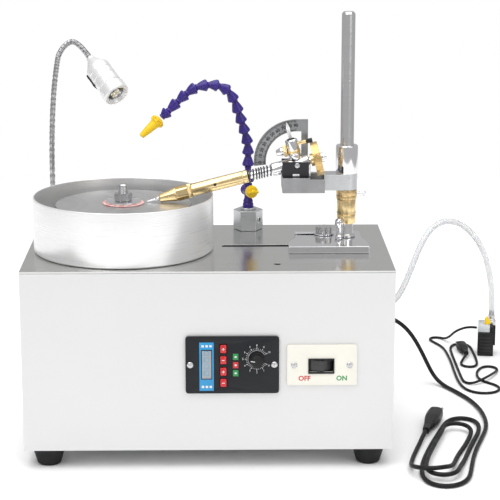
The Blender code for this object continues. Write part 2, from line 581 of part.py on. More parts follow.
def make_quill():
    shaft = turned("quill_shaft", "chrome",
                   [(0, -34), (2.2, -34), (2.2, -30.5), (5.2, -30.5), (5.2, -27.4), (4.1, -27.4), (4.1, 62), (0, 62)],
                   on_quill(0), TIP_WARD, 20)
    wheel = turned("index_wheel", "brass",
                   [(4.4, -27.1), (8, -27.1), (8, -26), (15, -26), (16, -27.1), (WHEEL_R, -27.1), (WHEEL_R, -19.2),
                    (7, -19.2), (7, -16), (4.4, -16)], on_quill(0), TIP_WARD, 32)
    body = turned("quill_body", "brass",
                  [(0, 63.5), (4.4, 63.5), (4.4, 55.8), (6.6, 55.8), (7.2, 56.5), (7.2, 119.6), (6.6, 120.2), (0, 120.2)],
                  on_quill(0), TIP_WARD, 24)
    cut(body, bore("cross_hole", on_quill(93.4, 1.5, 2.5), (0, -1, 0), 1.8, 8, 10))
    chuck = turned("quill_chuck", "brass",
                   [(0, 120.5), (7.8, 120.5), (7.8, 124.6), (7.0, 124.6), (7.0, 137.5), (7.8, 138.5),
                    (4.2, 157.4), (0, 157.4)], on_quill(0), TIP_WARD, 20)
    weld(chuck, prism("chuck_hex", None, regular(6, 8.3), 13, facing(on_quill(124.6), TIP_WARD)))
    dop = turned("dop_stick", "chrome",
                 [(0, 157.7), (2.4, 157.7), (2.2, 160.5), (1.1, 165), (0.7, 171.8), (0, 172.2)],
                 on_quill(0), TIP_WARD, 12)
    spring = make_spring()
    return [shaft, wheel, body, chuck, dop, spring]


def make_spring():
    """The return spring between the quill's body and the carrier."""
    start, end, radius, wire, coils, per_coil = 29.4, 54.6, 5.6, 1.7, 6, 10
    curve = bpy.data.curves.new("quill_spring", "CURVE")
    curve.dimensions = "3D"
    curve.bevel_depth = wire / 2 * MM
    curve.bevel_resolution = 1
    curve.use_fill_caps = True
    spline = curve.splines.new("POLY")
    count = coils * per_coil
    spline.points.add(count)
    for i, knot in enumerate(spline.points):
        turn = 2 * math.pi * i / per_coil
        along = start + (end - start) * i / count
        knot.co = (*on_quill(along, radius * math.cos(turn), radius * math.sin(turn)), 1)
    spring = bpy.data.objects.new("quill_spring", curve)
    bpy.context.collection.objects.link(spring)
    curve.materials.append(finish("brass"))
    return spring


# ---------------------------------------------------------------- cords, hose and pump

HOSE_ROUTE = [(186, 243.4, 97), (186.5, 252, 97), (193, 263, 97.5), (209, 266, 96), (222, 264, 96.5),
              (231, 265, 103), (235, 267, 114), (241.2, 274, 137.4), (251.3, 286, 163.4), (264.1, 300, 186.6),
              (280.1, 318, 198.9), (298, 338, 199.4), (319.6, 362, 188.8), (340.3, 384, 166.7),
              (354.5, 400, 141.7), (363, 411, 116.2), (368.5, 420, 88.3), (370.8, 428.2, 66), (371, 429, 52.8)]
MAINS_ROUTE = [(158, 247.8, 88), (158.1, 258, 88), (163, 273, 88.5), (177, 285, 90), (197, 290, 92),
               (216, 290, 90), (231.2, 291, 84), (246.7, 294, 70), (259.8, 298, 49.7), (271.6, 300, 26),
               (280, 296, 10), (290, 282, 2.8), (300, 261, 2.7), (312, 232, 2.7), (319, 208, 2.7),
               (321.3, 190.6, 2.7)]
MAINS_HANK = [(315, 187), (327, 186), (331, 158), (327, 128), (318, 94), (308, 62), (298, 30), (289, 0),
              (284, -30), (276, -58), (262, -73), (243, -74), (226, -64), (217, -42), (216, -14), (221, 15),
              (230, 48), (240, 78), (244, 94), (252, 94.5), (258, 97), (267, 117), (272, 140), (280, 160),
              (292, 168), (305, 173)]
PUMP_CORD_ROUTE = [(352.6, 434.8, 33), (345.5, 439.5, 32.6), (337, 450, 28), (328, 464, 19), (322, 478, 8),
                   (316, 490, 2.2), (308, 496.5, 1.8), (300.5, 490, 1.8), (304, 477, 1.8), (309.5, 462, 1.8),
                   (312, 440, 1.8), (312.5, 420, 1.8), (312.5, 405, 1.8)]
PUMP_HANK = [(312.5, 401.6), (326, 404), (341, 404), (350, 392), (357, 378), (368, 370), (371, 350), (366, 310),
             (363, 275), (355, 256), (338, 250), (318, 257), (308.5, 285), (308.5, 350)]
PUMP_YAW = math.radians(-8)
PUMP_SIZE = (21.0, 27.0, 43.0)
PUMP_X, PUMP_Y = 363.5, 426.0
MAINS_PLUG_X, MAINS_PLUG_Y, MAINS_PLUG_TURN = 247.5, 97.4, math.radians(-17)


def hank(name, outline, height):
    """The outer shape of a folded cord: a smooth closed outline, extruded."""
    loop = [Vector((x, y, 0)) for x, y in outline]
    count = len(loop)
    smooth = []
    for i in range(count):
        a, b, c, d = (loop[(i + k) % count] for k in (-1, 0, 1, 2))
        smooth.append(b)
        smooth.append((-a + 9 * b + 9 * c - d) / 16)
    return plan(name, "black_rubber", [(p.x, p.y) for p in smooth], GAP, height)


def plug(name, x, y, turn, width, length, height, pins):
    """A moulded two-pin plug lying on the bench, its strain relief starting at (x, y)."""
    place = Matrix.Translation(at(x, y, 0)) @ Matrix.Rotation(turn, 4, "Z")
    half = width / 2
    relief = length * 0.34
    shape = [(-half * 0.45, 0), (half * 0.45, 0), (half * 0.62, relief), (half, relief * 1.25),
             (half * 0.92, length), (-half * 0.92, length), (-half, relief * 1.25), (-half * 0.62, relief)]
    body = prism(name, "black_plastic", shape, height, place @ Matrix.Translation((0, 0, GAP * MM)))
    for side in (-1, 1):
        spot = place @ Vector((side * half * 0.5 * MM, (length - 2) * MM, height / 2 * MM))
        along = place.to_3x3() @ Vector((0, 1, 0))
        weld(body, turned(f"{name}_pin_{side + 2}", None, [(0, 0), (2.0, 0), (2.0, pins + 1), (1.2, pins + 2), (0, pins + 2)],
                          spot, along, 8))
    return body


def make_cords():
    flexible("mains_cord", "black_rubber", MAINS_ROUTE, MAINS_D, 15.0)
    hank("mains_cord_hank", MAINS_HANK, 16.0)
    plug("mains_plug", MAINS_PLUG_X, MAINS_PLUG_Y, MAINS_PLUG_TURN, 18, 66, 15, 17)
    flexible("water_hose", "clear_hose", HOSE_ROUTE, HOSE_D, 15.0)
    flexible("pump_cord", "black_rubber", PUMP_CORD_ROUTE, PUMP_CORD_D, 8.5)
    hank("pump_cord_hank", PUMP_HANK, 7.5)
    plug("pump_plug", 336, 407.2, math.radians(3), 14, 40, 11, 12)


def make_pump():
    width, depth, height = PUMP_SIZE
    turn = Matrix.Translation(at(PUMP_X, PUMP_Y, 0)) @ Matrix.Rotation(PUMP_YAW, 4, "Z")
    half_w, half_d, ease = width / 2, depth / 2, 3.0
    outline = [(-half_w + ease, -half_d), (half_w - ease, -half_d), (half_w, -half_d + ease),
               (half_w, half_d - ease), (half_w - ease, half_d), (-half_w + ease, half_d),
               (-half_w, half_d - ease), (-half_w, -half_d + ease)]
    pump = prism("water_pump", "black_plastic", outline, height - GAP,
                 turn @ Matrix.Translation((0, 0, GAP * MM)))
    weld(pump, turned("pump_outlet", None, [(0, height - 2), (6, height - 2), (6, height + 2), (4.2, height + 3),
                                            (4.2, 51.8), (0, 51.8)], at(371, 429, 0), sides=12))


def build():
    clear_scene()
    make_case()
    make_rear_fittings()
    make_control_panel()
    make_mains_switch()
    make_bowl()
    make_spindle()
    make_lamp()
    make_water_feed()
    height = make_mast()
    swivel = make_arm(height)
    carrier, screw = make_carrier()
    tilt = group("quill_tilt", Matrix.Translation(on_quill(0)), [carrier], swivel)
    group("trim_screw_axis", Matrix.Translation(on_quill(7.3, 17.2)), [screw], tilt)
    group("quill_turn", Matrix.Translation(on_quill(0)), make_quill(), tilt)
    make_pump()
    make_cords()


build()
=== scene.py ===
"""Looks of the gem faceting machine: fine pieces, materials, cords, light and camera.

Lengths are in millimetres (x to the right, y from the case's front face, z from the bench) and are
turned into the frame's metres by at(). Each piece rides on the body of the CAD node it stands for.
"""
import json
import math

import bmesh
import bpy
from mathutils import Matrix, Vector


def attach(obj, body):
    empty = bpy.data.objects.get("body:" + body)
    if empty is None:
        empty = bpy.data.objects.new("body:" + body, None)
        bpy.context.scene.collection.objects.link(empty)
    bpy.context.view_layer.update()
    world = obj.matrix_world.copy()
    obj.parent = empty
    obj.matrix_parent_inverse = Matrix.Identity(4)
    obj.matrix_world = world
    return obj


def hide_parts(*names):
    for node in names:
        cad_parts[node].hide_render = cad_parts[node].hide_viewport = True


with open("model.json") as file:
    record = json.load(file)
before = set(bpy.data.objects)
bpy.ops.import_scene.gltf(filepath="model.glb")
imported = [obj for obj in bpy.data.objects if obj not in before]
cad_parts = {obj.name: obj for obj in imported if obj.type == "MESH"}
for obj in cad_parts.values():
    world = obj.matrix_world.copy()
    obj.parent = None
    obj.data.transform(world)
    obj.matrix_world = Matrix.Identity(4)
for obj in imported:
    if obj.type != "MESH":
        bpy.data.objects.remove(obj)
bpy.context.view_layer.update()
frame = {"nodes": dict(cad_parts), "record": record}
RECORD = frame["record"]
SLOT_OF = {part["node"]: part["material_slot"] for part in RECORD["subparts"]}
BODY_OF = {node: body for body, nodes in RECORD["behaviour"]["bodies"].items() for node in nodes}
MM = 0.001
FRONT = -115.25                 # moves y = 0, the case's front face, to its place in the frame
GAP = 0.3                       # how far loose things stand above the bench
RELAX_ROUNDS = 14               # smoothing passes over each cord's curve
UP = (0, 0, 1)
TO_FRONT = (0, -1, 0)


def at(x, y, z):
    return Vector((x, y + FRONT, z)) * MM


# ---------------------------------------------------------------- materials

class Maker:
    """Builds one procedural material; a scale is one number or one for each axis."""

    def __init__(self, name, colour, metallic, rough):
        self.material = bpy.data.materials.new(name)
        self.material.use_nodes = True
        self.tree = self.material.node_tree
        self.shader = self.tree.nodes["Principled BSDF"]
        self.colour = colour
        self.shader.inputs["Base Color"].default_value = (*colour, 1.0)
        self.shader.inputs["Metallic"].default_value = metallic
        self.shader.inputs["Roughness"].default_value = rough

    def node(self, kind, **inputs):
        made = self.tree.nodes.new(kind)
        for key, value in inputs.items():
            made.inputs[key].default_value = value
        return made

    def link(self, source, target):
        self.tree.links.new(source, target)

    def vector(self, operation, first, second=(0, 0, 0)):
        made = self.node("ShaderNodeVectorMath")
        made.operation = operation
        made.inputs[1].default_value = second
        self.link(first, made.inputs[0])
        return made

    def place(self, scale, centre=None):
        """Object coordinates times scale; with a centre, the distance from that upright axis."""
        coords = self.node("ShaderNodeTexCoord").outputs["Object"]
        if centre is not None:
            offset = self.vector("SUBTRACT", coords, centre).outputs[0]
            flat = self.vector("MULTIPLY", offset, (1, 1, 0)).outputs[0]
            spread = self.node("ShaderNodeCombineXYZ")
            self.link(self.vector("LENGTH", flat).outputs["Value"], spread.inputs["X"])
            coords = spread.outputs[0]
        mapping = self.node("ShaderNodeMapping", Scale=scale if isinstance(scale, tuple) else (scale,) * 3)
        self.link(coords, mapping.inputs["Vector"])
        return mapping.outputs[0]

    def noise(self, scale, detail=4.0, centre=None):
        made = self.node("ShaderNodeTexNoise", Scale=1.0, Detail=detail)
        self.link(self.place(scale, centre), made.inputs["Vector"])
        return made.outputs["Fac"]

    def ramp(self, fac, low, high, start=0.3, stop=0.7):
        """Base colour running from low to high."""
        made = self.node("ShaderNodeValToRGB")
        ends = made.color_ramp.elements
        ends[0].position, ends[1].position = start, stop
        ends[0].color, ends[1].color = (*low, 1.0), (*high, 1.0)
        self.link(fac, made.inputs["Fac"])
        self.link(made.outputs["Color"], self.shader.inputs["Base Color"])

    def stretch(self, fac, start, stop, low, high):
        made = self.node("ShaderNodeMapRange", **{"From Min": start, "From Max": stop, "To Min": low,
            "To Max": high})
        self.link(fac, made.inputs["Value"])
        return made.outputs["Result"]

    def tint(self, scale, low, high=1.0, centre=None):
        """Colour varies between low and high times the base colour."""
        shades = [tuple(c * k for c in self.colour) for k in (low, high)]
        self.ramp(self.noise(scale, 4.0, centre), *shades)

    def gloss(self, scale, low, high, centre=None):
        """Roughness varies between low and high."""
        rough = self.stretch(self.noise(scale, 4.0, centre), 0.3, 0.7, low, high)
        self.link(rough, self.shader.inputs["Roughness"])

    def bump(self, scale, strength, depth, centre=None):
        made = self.node("ShaderNodeBump", Strength=strength, Distance=depth * MM)
        self.link(self.noise(scale, 3.0, centre), made.inputs["Height"])
        self.link(made.outputs["Normal"], self.shader.inputs["Normal"])


def surface(name, colour, metallic, rough, gloss=None, bump=None, tint=None, **sockets):
    """A material whose roughness, bump and colour are driven by noise; sockets hold one value each."""
    made = Maker(name, colour, metallic, rough)
    for drive, values in ((made.gloss, gloss), (made.bump, bump), (made.tint, tint)):
        if values:
            drive(*values)
    for socket, value in sockets.items():
        made.shader.inputs[socket.replace("_", " ")].default_value = value
    return made.material


def stained_paper():
    """White paper with a pink and red smear around its rim."""
    made = Maker("paper_stained", (0.86, 0.84, 0.81), 0.0, 0.75)
    made.bump(1500, 0.3, 0.03)
    split = made.node("ShaderNodeSeparateXYZ")
    made.link(made.place(1, BOWL_AXIS), split.inputs[0])
    patch = made.node("ShaderNodeMath")
    patch.operation = "MULTIPLY"
    made.link(made.stretch(split.outputs["X"], 19.0 * MM, 23.5 * MM, 0.0, 1.0), patch.inputs[0])
    made.link(made.noise(160), patch.inputs[1])
    made.ramp(patch.outputs[0], (0.86, 0.84, 0.82), (0.66, 0.24, 0.22), 0.26, 0.62)
    return made.material


BOWL_X, BOWL_Y = -94, 107
BOWL_AXIS = tuple(at(BOWL_X, BOWL_Y, 0))

CASE = surface("case_satin", (0.74, 0.74, 0.74), 0.3, 0.42, gloss=((6, 6, 900), 0.36, 0.48),
    bump=((20, 20, 2600), 0.25, 0.02), tint=((3, 3, 5), 0.965))
DECK = surface("deck_brushed", (0.70, 0.70, 0.69), 1.0, 0.2, gloss=((12, 1500, 12), 0.13, 0.26),
    bump=((9, 2200, 9), 0.5, 0.02), tint=((6, 500, 6), 0.93))
BOWL_OUT = surface("bowl_polished", (0.86, 0.86, 0.86), 0.6, 0.32, gloss=((10, 10, 1800), 0.26, 0.38),
    bump=((14, 14, 3000), 0.12, 0.008))
BOWL_IN = surface("bowl_satin", (0.80, 0.80, 0.80), 0.75, 0.34, gloss=((10, 10, 1500), 0.26, 0.42),
    bump=((14, 14, 2600), 0.5, 0.02), tint=((30, 30, 60), 0.9))
LAP = surface("lap_face", (0.66, 0.66, 0.66), 1.0, 0.36, gloss=((1400, 1, 1), 0.28, 0.44, BOWL_AXIS),
    bump=((3200, 1, 1), 0.5, 0.02, BOWL_AXIS), tint=((60, 1, 1), 0.86, 1.05, BOWL_AXIS))
CHROME = surface("chrome", (0.80, 0.80, 0.82), 1.0, 0.07, gloss=(90, 0.05, 0.13))
MAST_STEEL = surface("mast_steel", (0.70, 0.70, 0.71), 1.0, 0.16, gloss=((30, 30, 700), 0.12, 0.24),
    bump=((20, 20, 2800), 0.3, 0.01))
STEEL = surface("machined_steel", (0.58, 0.58, 0.59), 1.0, 0.28, gloss=(300, 0.2, 0.36),
    bump=(1800, 0.2, 0.01))
ALLOY = surface("alloy", (0.66, 0.67, 0.68), 1.0, 0.3, gloss=((40, 900, 900), 0.24, 0.4),
    bump=((60, 2400, 2400), 0.35, 0.012), tint=(60, 0.92))
PALE_ALLOY = surface("pale_alloy", (0.86, 0.86, 0.87), 0.5, 0.34, gloss=(200, 0.28, 0.4),
    bump=(1500, 0.12, 0.01))
BRASS = surface("brass", (0.88, 0.68, 0.36), 1.0, 0.2, gloss=(260, 0.16, 0.3), bump=(1400, 0.18, 0.01),
    tint=(70, 0.9, 1.04))
DARK_BRASS = surface("aged_brass", (0.70, 0.51, 0.26), 1.0, 0.26, gloss=(260, 0.18, 0.32), tint=(90, 0.85))
BLACK_OXIDE = surface("black_oxide", (0.03, 0.03, 0.034), 0.4, 0.38, gloss=(300, 0.3, 0.46),
    bump=(2200, 0.25, 0.015))
GREY_STEEL = surface("scale_steel", (0.34, 0.345, 0.355), 0.85, 0.34, gloss=(160, 0.28, 0.44),
    bump=((2400, 60, 60), 0.2, 0.01), tint=(50, 0.85, 1.1))
# Near-black for engraved and printed marks; on the screws' cross slots and the quill body's hole it is
# painted shade.
MARKING_AND_SHADE = surface("engraved_black_and_painted_shade", (0.012, 0.012, 0.013), 0.0, 0.5, gloss=(400, 0.4, 0.6))
RUBBER = surface("foot_rubber", (0.010, 0.010, 0.011), 0.0, 0.62, gloss=(120, 0.5, 0.72),
    bump=(1600, 0.35, 0.03), tint=(60, 0.8, 1.15), Specular_IOR_Level=0.3)
CORD = surface("cord_sheath", (0.007, 0.007, 0.008), 0.0, 0.42, gloss=(160, 0.34, 0.52),
    bump=(900, 0.2, 0.03), Specular_IOR_Level=0.25)
BLACK = surface("black_plastic", (0.010, 0.010, 0.011), 0.0, 0.4, gloss=(200, 0.32, 0.48),
    bump=(2400, 0.22, 0.02), Specular_IOR_Level=0.3)
PANEL = surface("panel_charcoal", (0.013, 0.014, 0.017), 0.0, 0.42, gloss=(160, 0.36, 0.5),
    bump=(2200, 0.25, 0.02), Specular_IOR_Level=0.28)
IVORY = surface("ivory_plastic", (0.84, 0.82, 0.74), 0.0, 0.34, gloss=(60, 0.28, 0.4),
    bump=(1400, 0.08, 0.02), tint=(25, 0.975))
RED = surface("red_gloss", (0.62, 0.012, 0.018), 0.0, 0.2, gloss=(120, 0.15, 0.26), tint=(200, 0.88),
    Coat_Weight=0.4)
GREEN = surface("green_print", (0.02, 0.32, 0.08), 0.0, 0.4, tint=(400, 0.85))
RED_PRINT = surface("red_print", (0.62, 0.03, 0.03), 0.0, 0.42, tint=(400, 0.85))
WHITE_PRINT = surface("white_print", (0.82, 0.83, 0.84), 0.0, 0.5, tint=(500, 0.9))
BLUE_LABEL = surface("blue_label", (0.03, 0.33, 0.68), 0.0, 0.34, gloss=(120, 0.28, 0.4), tint=(90, 0.88))
DISPLAY = surface("display_grey", (0.36, 0.40, 0.42), 0.0, 0.14, gloss=(80, 0.10, 0.2), tint=(150, 0.86),
    Coat_Weight=0.5)
LINK = surface("link_violet", (0.028, 0.012, 0.215), 0.0, 0.3, gloss=(180, 0.26, 0.42),
    bump=(1200, 0.12, 0.02), tint=(120, 0.85, 1.1), Subsurface_Weight=0.06)
YELLOW = surface("yellow_plastic", (0.98, 0.63, 0.005), 0.0, 0.34, gloss=(150, 0.28, 0.42),
    bump=(1300, 0.1, 0.02), tint=(90, 0.92), Subsurface_Weight=0.08)
HOSE = surface("milky_hose", (0.90, 0.91, 0.92), 0.0, 0.2, gloss=(90, 0.14, 0.26), Transmission_Weight=0.55,
    IOR=1.42, Subsurface_Weight=0.1)
CLEAR = surface("clear_plastic", (0.82, 0.85, 0.87), 0.0, 0.16, gloss=(120, 0.1, 0.24),
    Transmission_Weight=0.45, IOR=1.46)
LENS = surface("lamp_lens", (0.05, 0.055, 0.06), 0.2, 0.1, gloss=(200, 0.06, 0.14), Coat_Weight=0.6)
LED = surface("led_yellow", (0.92, 0.85, 0.45), 0.0, 0.25, tint=(600, 0.9), Coat_Weight=0.5)
ROCKER = surface("rocker_black", (0.030, 0.030, 0.032), 0.0, 0.3, gloss=(200, 0.24, 0.36),
    bump=(2000, 0.12, 0.02))
# Steel for the yoke block, darkened to the grey its front shows in shadow: painted shade.
YOKE_SHADED_STEEL = surface("yoke_steel_painted_shade", (0.40, 0.40, 0.41), 1.0, 0.34, gloss=((60, 700, 700), 0.28, 0.42),
    bump=((80, 2200, 2200), 0.35, 0.012), tint=(70, 0.85))
FLEX = surface("gooseneck_steel", (0.46, 0.46, 0.47), 1.0, 0.24, gloss=(200, 0.18, 0.32))
SPRING = surface("spring_steel", (0.16, 0.16, 0.17), 1.0, 0.26, gloss=(300, 0.2, 0.34))
STAINED = stained_paper()


# ---------------------------------------------------------------- geometry helpers

def dress(obj, node=None, body=None, slot=None):
    """Ride on a body; with a node, stand for that CAD node, whose own part is hidden."""
    if node is not None:
        body = body or BODY_OF[node]
        slot = slot or SLOT_OF[node]
    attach(obj, body)
    if node is not None:
        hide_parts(node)
    return obj


def make(name, bm, material, place=Matrix.Identity(4), angle=38, bevel=0.0, segments=2):
    bmesh.ops.recalc_face_normals(bm, faces=bm.faces)
    mesh = bpy.data.meshes.new(name)
    bm.to_mesh(mesh)
    bm.free()
    for item in material if isinstance(material, (list, tuple)) else [material]:
        mesh.materials.append(item)
    obj = bpy.data.objects.new(name, mesh)
    bpy.context.scene.collection.objects.link(obj)
    obj.matrix_world = place
    mesh.shade_smooth()
    mesh.set_sharp_from_angle(angle=math.radians(angle))
    if bevel:
        edge = obj.modifiers.new("edges", "BEVEL")
        edge.width = bevel * MM
        edge.segments = segments
        edge.limit_method = "ANGLE"
        edge.angle_limit = math.radians(35)
        edge.harden_normals = True
    return obj


def refine(node, material, bevel=0.3, segments=2):
    """A CAD node's own shape with its flat faces merged, edges eased and curves shaded smooth."""
    bm = bmesh.new()
    bm.from_mesh(frame["nodes"][node].data)
    bmesh.ops.remove_doubles(bm, verts=bm.verts, dist=2e-6)
    bmesh.ops.dissolve_limit(bm, angle_limit=math.radians(0.8), verts=bm.verts, edges=bm.edges)
    return dress(make(f"{node}_fine", bm, material, bevel=bevel, segments=segments), node)


def facing(base, axis, spin=0.0):
    turn = Vector((0, 0, 1)).rotation_difference(Vector(axis)).to_matrix().to_4x4()
    return Matrix.Translation(base) @ turn @ Matrix.Rotation(spin, 4, "Z")


def eased(profile, reach, closed):
    """The profile with each corner rounded a little."""
    points = [Vector(p) for p in profile]
    ends = (points[-1:] + points + points[:1]) if closed else points
    out = [] if closed else [points[0]]
    for a, b, c in zip(ends, ends[1:], ends[2:]):
        into, away = (a - b), (c - b)
        if into.length < 1e-6 or away.length < 1e-6 or into.angle(away) > math.radians(168):
            out.append(b)
            continue
        r = min(reach, 0.35 * into.length, 0.35 * away.length)
        p, q = b + into.normalized() * r, b + away.normalized() * r
        out += [p, (p + q) / 4 + b / 2, q]
    return out if closed else out + [points[-1]]


def turned(material, profile, base, axis=UP, sides=64, ease=0.3, name="piece"):
    """A profile of (radius, height) points turned about the axis through base."""
    closed = profile[0][0] > 0 and profile[-1][0] > 0
    bm = bmesh.new()
    rim = [bm.verts.new((p[0] * MM, 0, p[1] * MM)) for p in eased(profile, ease, closed)]
    edges = [bm.edges.new(pair) for pair in zip(rim, rim[1:])]
    if closed:
        edges.append(bm.edges.new((rim[-1], rim[0])))
    bmesh.ops.spin(bm, geom=rim + edges, cent=(0, 0, 0), axis=UP, dvec=(0, 0, 0), angle=2 * math.pi,
        steps=sides, use_merge=True)
    bmesh.ops.remove_doubles(bm, verts=bm.verts, dist=1e-6)
    bmesh.ops.dissolve_degenerate(bm, edges=bm.edges, dist=1e-7)
    return make(name, bm, material, facing(base, axis), angle=50)


def turned_node(node, material, profile, base, axis=UP, sides=64, ease=0.3):
    return dress(turned(material, profile, base, axis, sides, ease, f"{node}_fine"), node)


def prism(material, outline, length, place, bevel=0.0, segments=2, holes=(), name="piece"):
    """An outline, with any holes left open, drawn out along z."""
    bm = bmesh.new()
    if holes:
        edges = []
        for loop in (outline, *holes):
            ring = [bm.verts.new((x * MM, y * MM, 0)) for x, y in loop]
            edges += [bm.edges.new(pair) for pair in zip(ring, ring[1:] + ring[:1])]
        bmesh.ops.triangle_fill(bm, use_beauty=True, edges=edges)
        faces = list(bm.faces)
    else:
        faces = [bm.faces.new([bm.verts.new((x * MM, y * MM, 0)) for x, y in outline])]
    raised = bmesh.ops.extrude_face_region(bm, geom=faces)["geom"]
    tops = [item for item in raised if isinstance(item, bmesh.types.BMVert)]
    bmesh.ops.translate(bm, verts=tops, vec=(0, 0, length * MM))
    return make(name, bm, material, place, bevel=bevel, segments=segments)


def block(material, low, high, bevel=0.2, place=None, segments=2):
    """A box between two corners, for joining into a piece."""
    size = [b - a for a, b in zip(low, high)]
    middle = [(a + b) / 2 for a, b in zip(low, high)]
    bm = bmesh.new()
    bmesh.ops.create_cube(bm, size=1.0, matrix=Matrix.Diagonal((*[s * MM for s in size], 1)))
    if place is None:
        place = Matrix.Translation(at(*middle))
    else:
        place = place @ Matrix.Translation(Vector(middle) * MM)
    return make("piece", bm, material, place, bevel=bevel, segments=segments)


def rounded(low, high, radius, steps=6):
    """A rectangle with round corners."""
    corners = ((high[0] - radius, high[1] - radius), (low[0] + radius, high[1] - radius),
        (low[0] + radius, low[1] + radius), (high[0] - radius, low[1] + radius))
    points = []
    for k, (x, z) in enumerate(corners):
        for i in range(steps + 1):
            a = math.pi / 2 * (k + i / steps)
            points.append((x + radius * math.cos(a), z + radius * math.sin(a)))
    return points


def toothed(count, root, tip, share=0.5):
    """The outline of a wheel with small ridges."""
    points = []
    for i in range(count):
        for part, radius in ((0.0, root), (0.15, tip), (share, tip), (share + 0.15, root)):
            a = 2 * math.pi * (i + part) / count
            points.append((radius * math.cos(a), radius * math.sin(a)))
    return points


def skin(bm, rings):
    """Faces between neighbouring rings of vertices, and a cap on each end."""
    for low, high in zip(rings, rings[1:]):
        for k in range(len(low)):
            j = (k + 1) % len(low)
            bm.faces.new((low[k], low[j], high[j], high[k]))
    bm.faces.new(rings[0])
    bm.faces.new(rings[-1])


def joined(name, pieces):
    """Several loose pieces as one object, each keeping its own place and material."""
    bm = bmesh.new()
    materials = []
    deps = bpy.context.evaluated_depsgraph_get()
    bpy.context.view_layer.update()
    for piece in pieces:
        solid = piece.evaluated_get(deps)
        mesh = bpy.data.meshes.new_from_object(solid)
        mesh.transform(piece.matrix_world)
        own = piece.data.materials[0]
        if own not in materials:
            materials.append(own)
        for face in mesh.polygons:
            face.material_index = materials.index(own)
        bm.from_mesh(mesh)
        bpy.data.meshes.remove(mesh)
        bpy.data.objects.remove(piece)
    return make(name, bm, materials)


def joined_node(node, pieces):
    return dress(joined(f"{node}_fine", pieces), node)


def hexagon(material, radius, height, base, axis=UP, spin=0.0, name="piece"):
    """A hexagonal nut or bolt head with its corners chamfered."""
    bm = bmesh.new()
    rows = []
    for z, limit in ((0, 0.93), (height * 0.12, 1.0), (height * 0.88, 1.0), (height, 0.93)):
        row = []
        for i in range(36):
            a = 2 * math.pi * i / 36
            flat = math.cos(math.pi / 6) / math.cos((a % (math.pi / 3)) - math.pi / 6)
            reach = min(limit, flat) * radius * MM
            row.append(bm.verts.new((reach * math.cos(a), reach * math.sin(a), z * MM)))
        rows.append(row)
    skin(bm, rows)
    return make(name, bm, material, facing(base, axis, spin), angle=25)


def smooth_route(points, spacing):
    """Points about spacing apart along a smooth curve through the given ones, and its length."""
    pts = [Vector(p) for p in points]
    pts = [2 * pts[0] - pts[1]] + pts + [2 * pts[-1] - pts[-2]]
    fine = []
    for a, b, c, d in zip(pts, pts[1:], pts[2:], pts[3:]):
        for i in range(24):
            t = i / 24
            bend, twist = 2 * a - 5 * b + 4 * c - d, 3 * b - a - 3 * c + d
            fine.append(0.5 * ((2 * b) + (c - a) * t + bend * t ** 2 + twist * t ** 3))
    fine.append(pts[-2])
    length = sum((b - a).length for a, b in zip(fine, fine[1:]))
    count = max(2, round(length / spacing))
    route, walked = [fine[0]], 0.0
    for a, b in zip(fine, fine[1:]):
        walked += (b - a).length
        if walked >= length / count * len(route) and len(route) < count:
            route.append(b)
    return route + [fine[-1]], length


def wire(name, material, knots, diameter, resolution):
    """A round wire through knots in metres, as a curve object."""
    curve = bpy.data.curves.new(name, "CURVE")
    curve.dimensions = "3D"
    curve.bevel_depth = diameter / 2 * MM
    curve.bevel_resolution = resolution
    curve.use_fill_caps = True
    spline = curve.splines.new("POLY")
    spline.points.add(len(knots) - 1)
    for point, knot in zip(spline.points, knots):
        point.co = (*knot, 1)
    spline.use_smooth = True
    curve.materials.append(material)
    obj = bpy.data.objects.new(name, curve)
    bpy.context.scene.collection.objects.link(obj)
    return obj


def tube(name, material, points, diameter, spacing=3.0):
    """A cord or hose along a smooth, relaxed curve; returns it and its length in metres."""
    route, _ = smooth_route(points, spacing)
    for _ in range(RELAX_ROUNDS):
        relaxed = [(a + b * 2 + c) / 4 for a, b, c in zip(route[1:], route[2:], route[3:])]
        route = route[:2] + relaxed + route[-2:]
    length = sum((b - a).length for a, b in zip(route, route[1:]))
    return wire(name, material, [at(*spot) for spot in route], diameter, 5), length * MM


def swept(name, material, route, radii, sides=20, angle=50):
    """A tube whose radius is given at every point of its route, for ribbed and linked hoses."""
    bm = bmesh.new()
    rings = []
    side = Vector((0, 1, 0.01))
    for i, spot in enumerate(route):
        ahead = (route[min(i + 1, len(route) - 1)] - route[max(i - 1, 0)]).normalized()
        side = (side - ahead * side.dot(ahead)).normalized()
        up = ahead.cross(side)
        turns = [2 * math.pi * k / sides for k in range(sides)]
        rings.append([bm.verts.new(at(*(spot + (side * math.cos(a) + up * math.sin(a)) * radii[i])))
                      for a in turns])
    skin(bm, rings)
    return make(name, bm, material, angle=angle)


def words(text, size, material, place, depth=0.06, weight=0.0):
    """Generic printed lettering in the place's own XY plane, for joining into a piece."""
    curve = bpy.data.curves.new("piece", "FONT")
    curve.body = text
    curve.size = size * MM
    curve.extrude = depth * MM
    curve.offset = weight * MM
    curve.align_x = "CENTER"
    curve.align_y = "CENTER"
    curve.resolution_u = 3
    obj = bpy.data.objects.new("piece", curve)
    bpy.context.scene.collection.objects.link(obj)
    obj.matrix_world = place
    curve.materials.append(material)
    return obj


UPRIGHT = Matrix.Rotation(math.pi / 2, 4, "X")     # a shape drawn in XY stands up and faces the front


def front_place(x, y, z, spin=0.0):
    return Matrix.Translation(at(x, y, z)) @ UPRIGHT @ Matrix.Rotation(spin, 4, "Z")


# ---------------------------------------------------------------- camera

def make_camera():
    data = bpy.data.cameras.new("camera")
    data.lens = 127.4
    data.sensor_width = 36.0
    data.clip_end = 20.0
    camera = bpy.data.objects.new("camera", data)
    bpy.context.scene.collection.objects.link(camera)
    camera.location = at(15.2, -1818.5, 679.8)
    camera.rotation_euler = (math.radians(90 - 13.47), 0, math.radians(-0.936))
    bpy.context.scene.camera = camera


# ---------------------------------------------------------------- cords, hose and pump

def on_bench(height, points):
    """Points of a cord; those given by x and y alone lie on the bench, height above it."""
    return [(*point, height)[:3] for point in points]


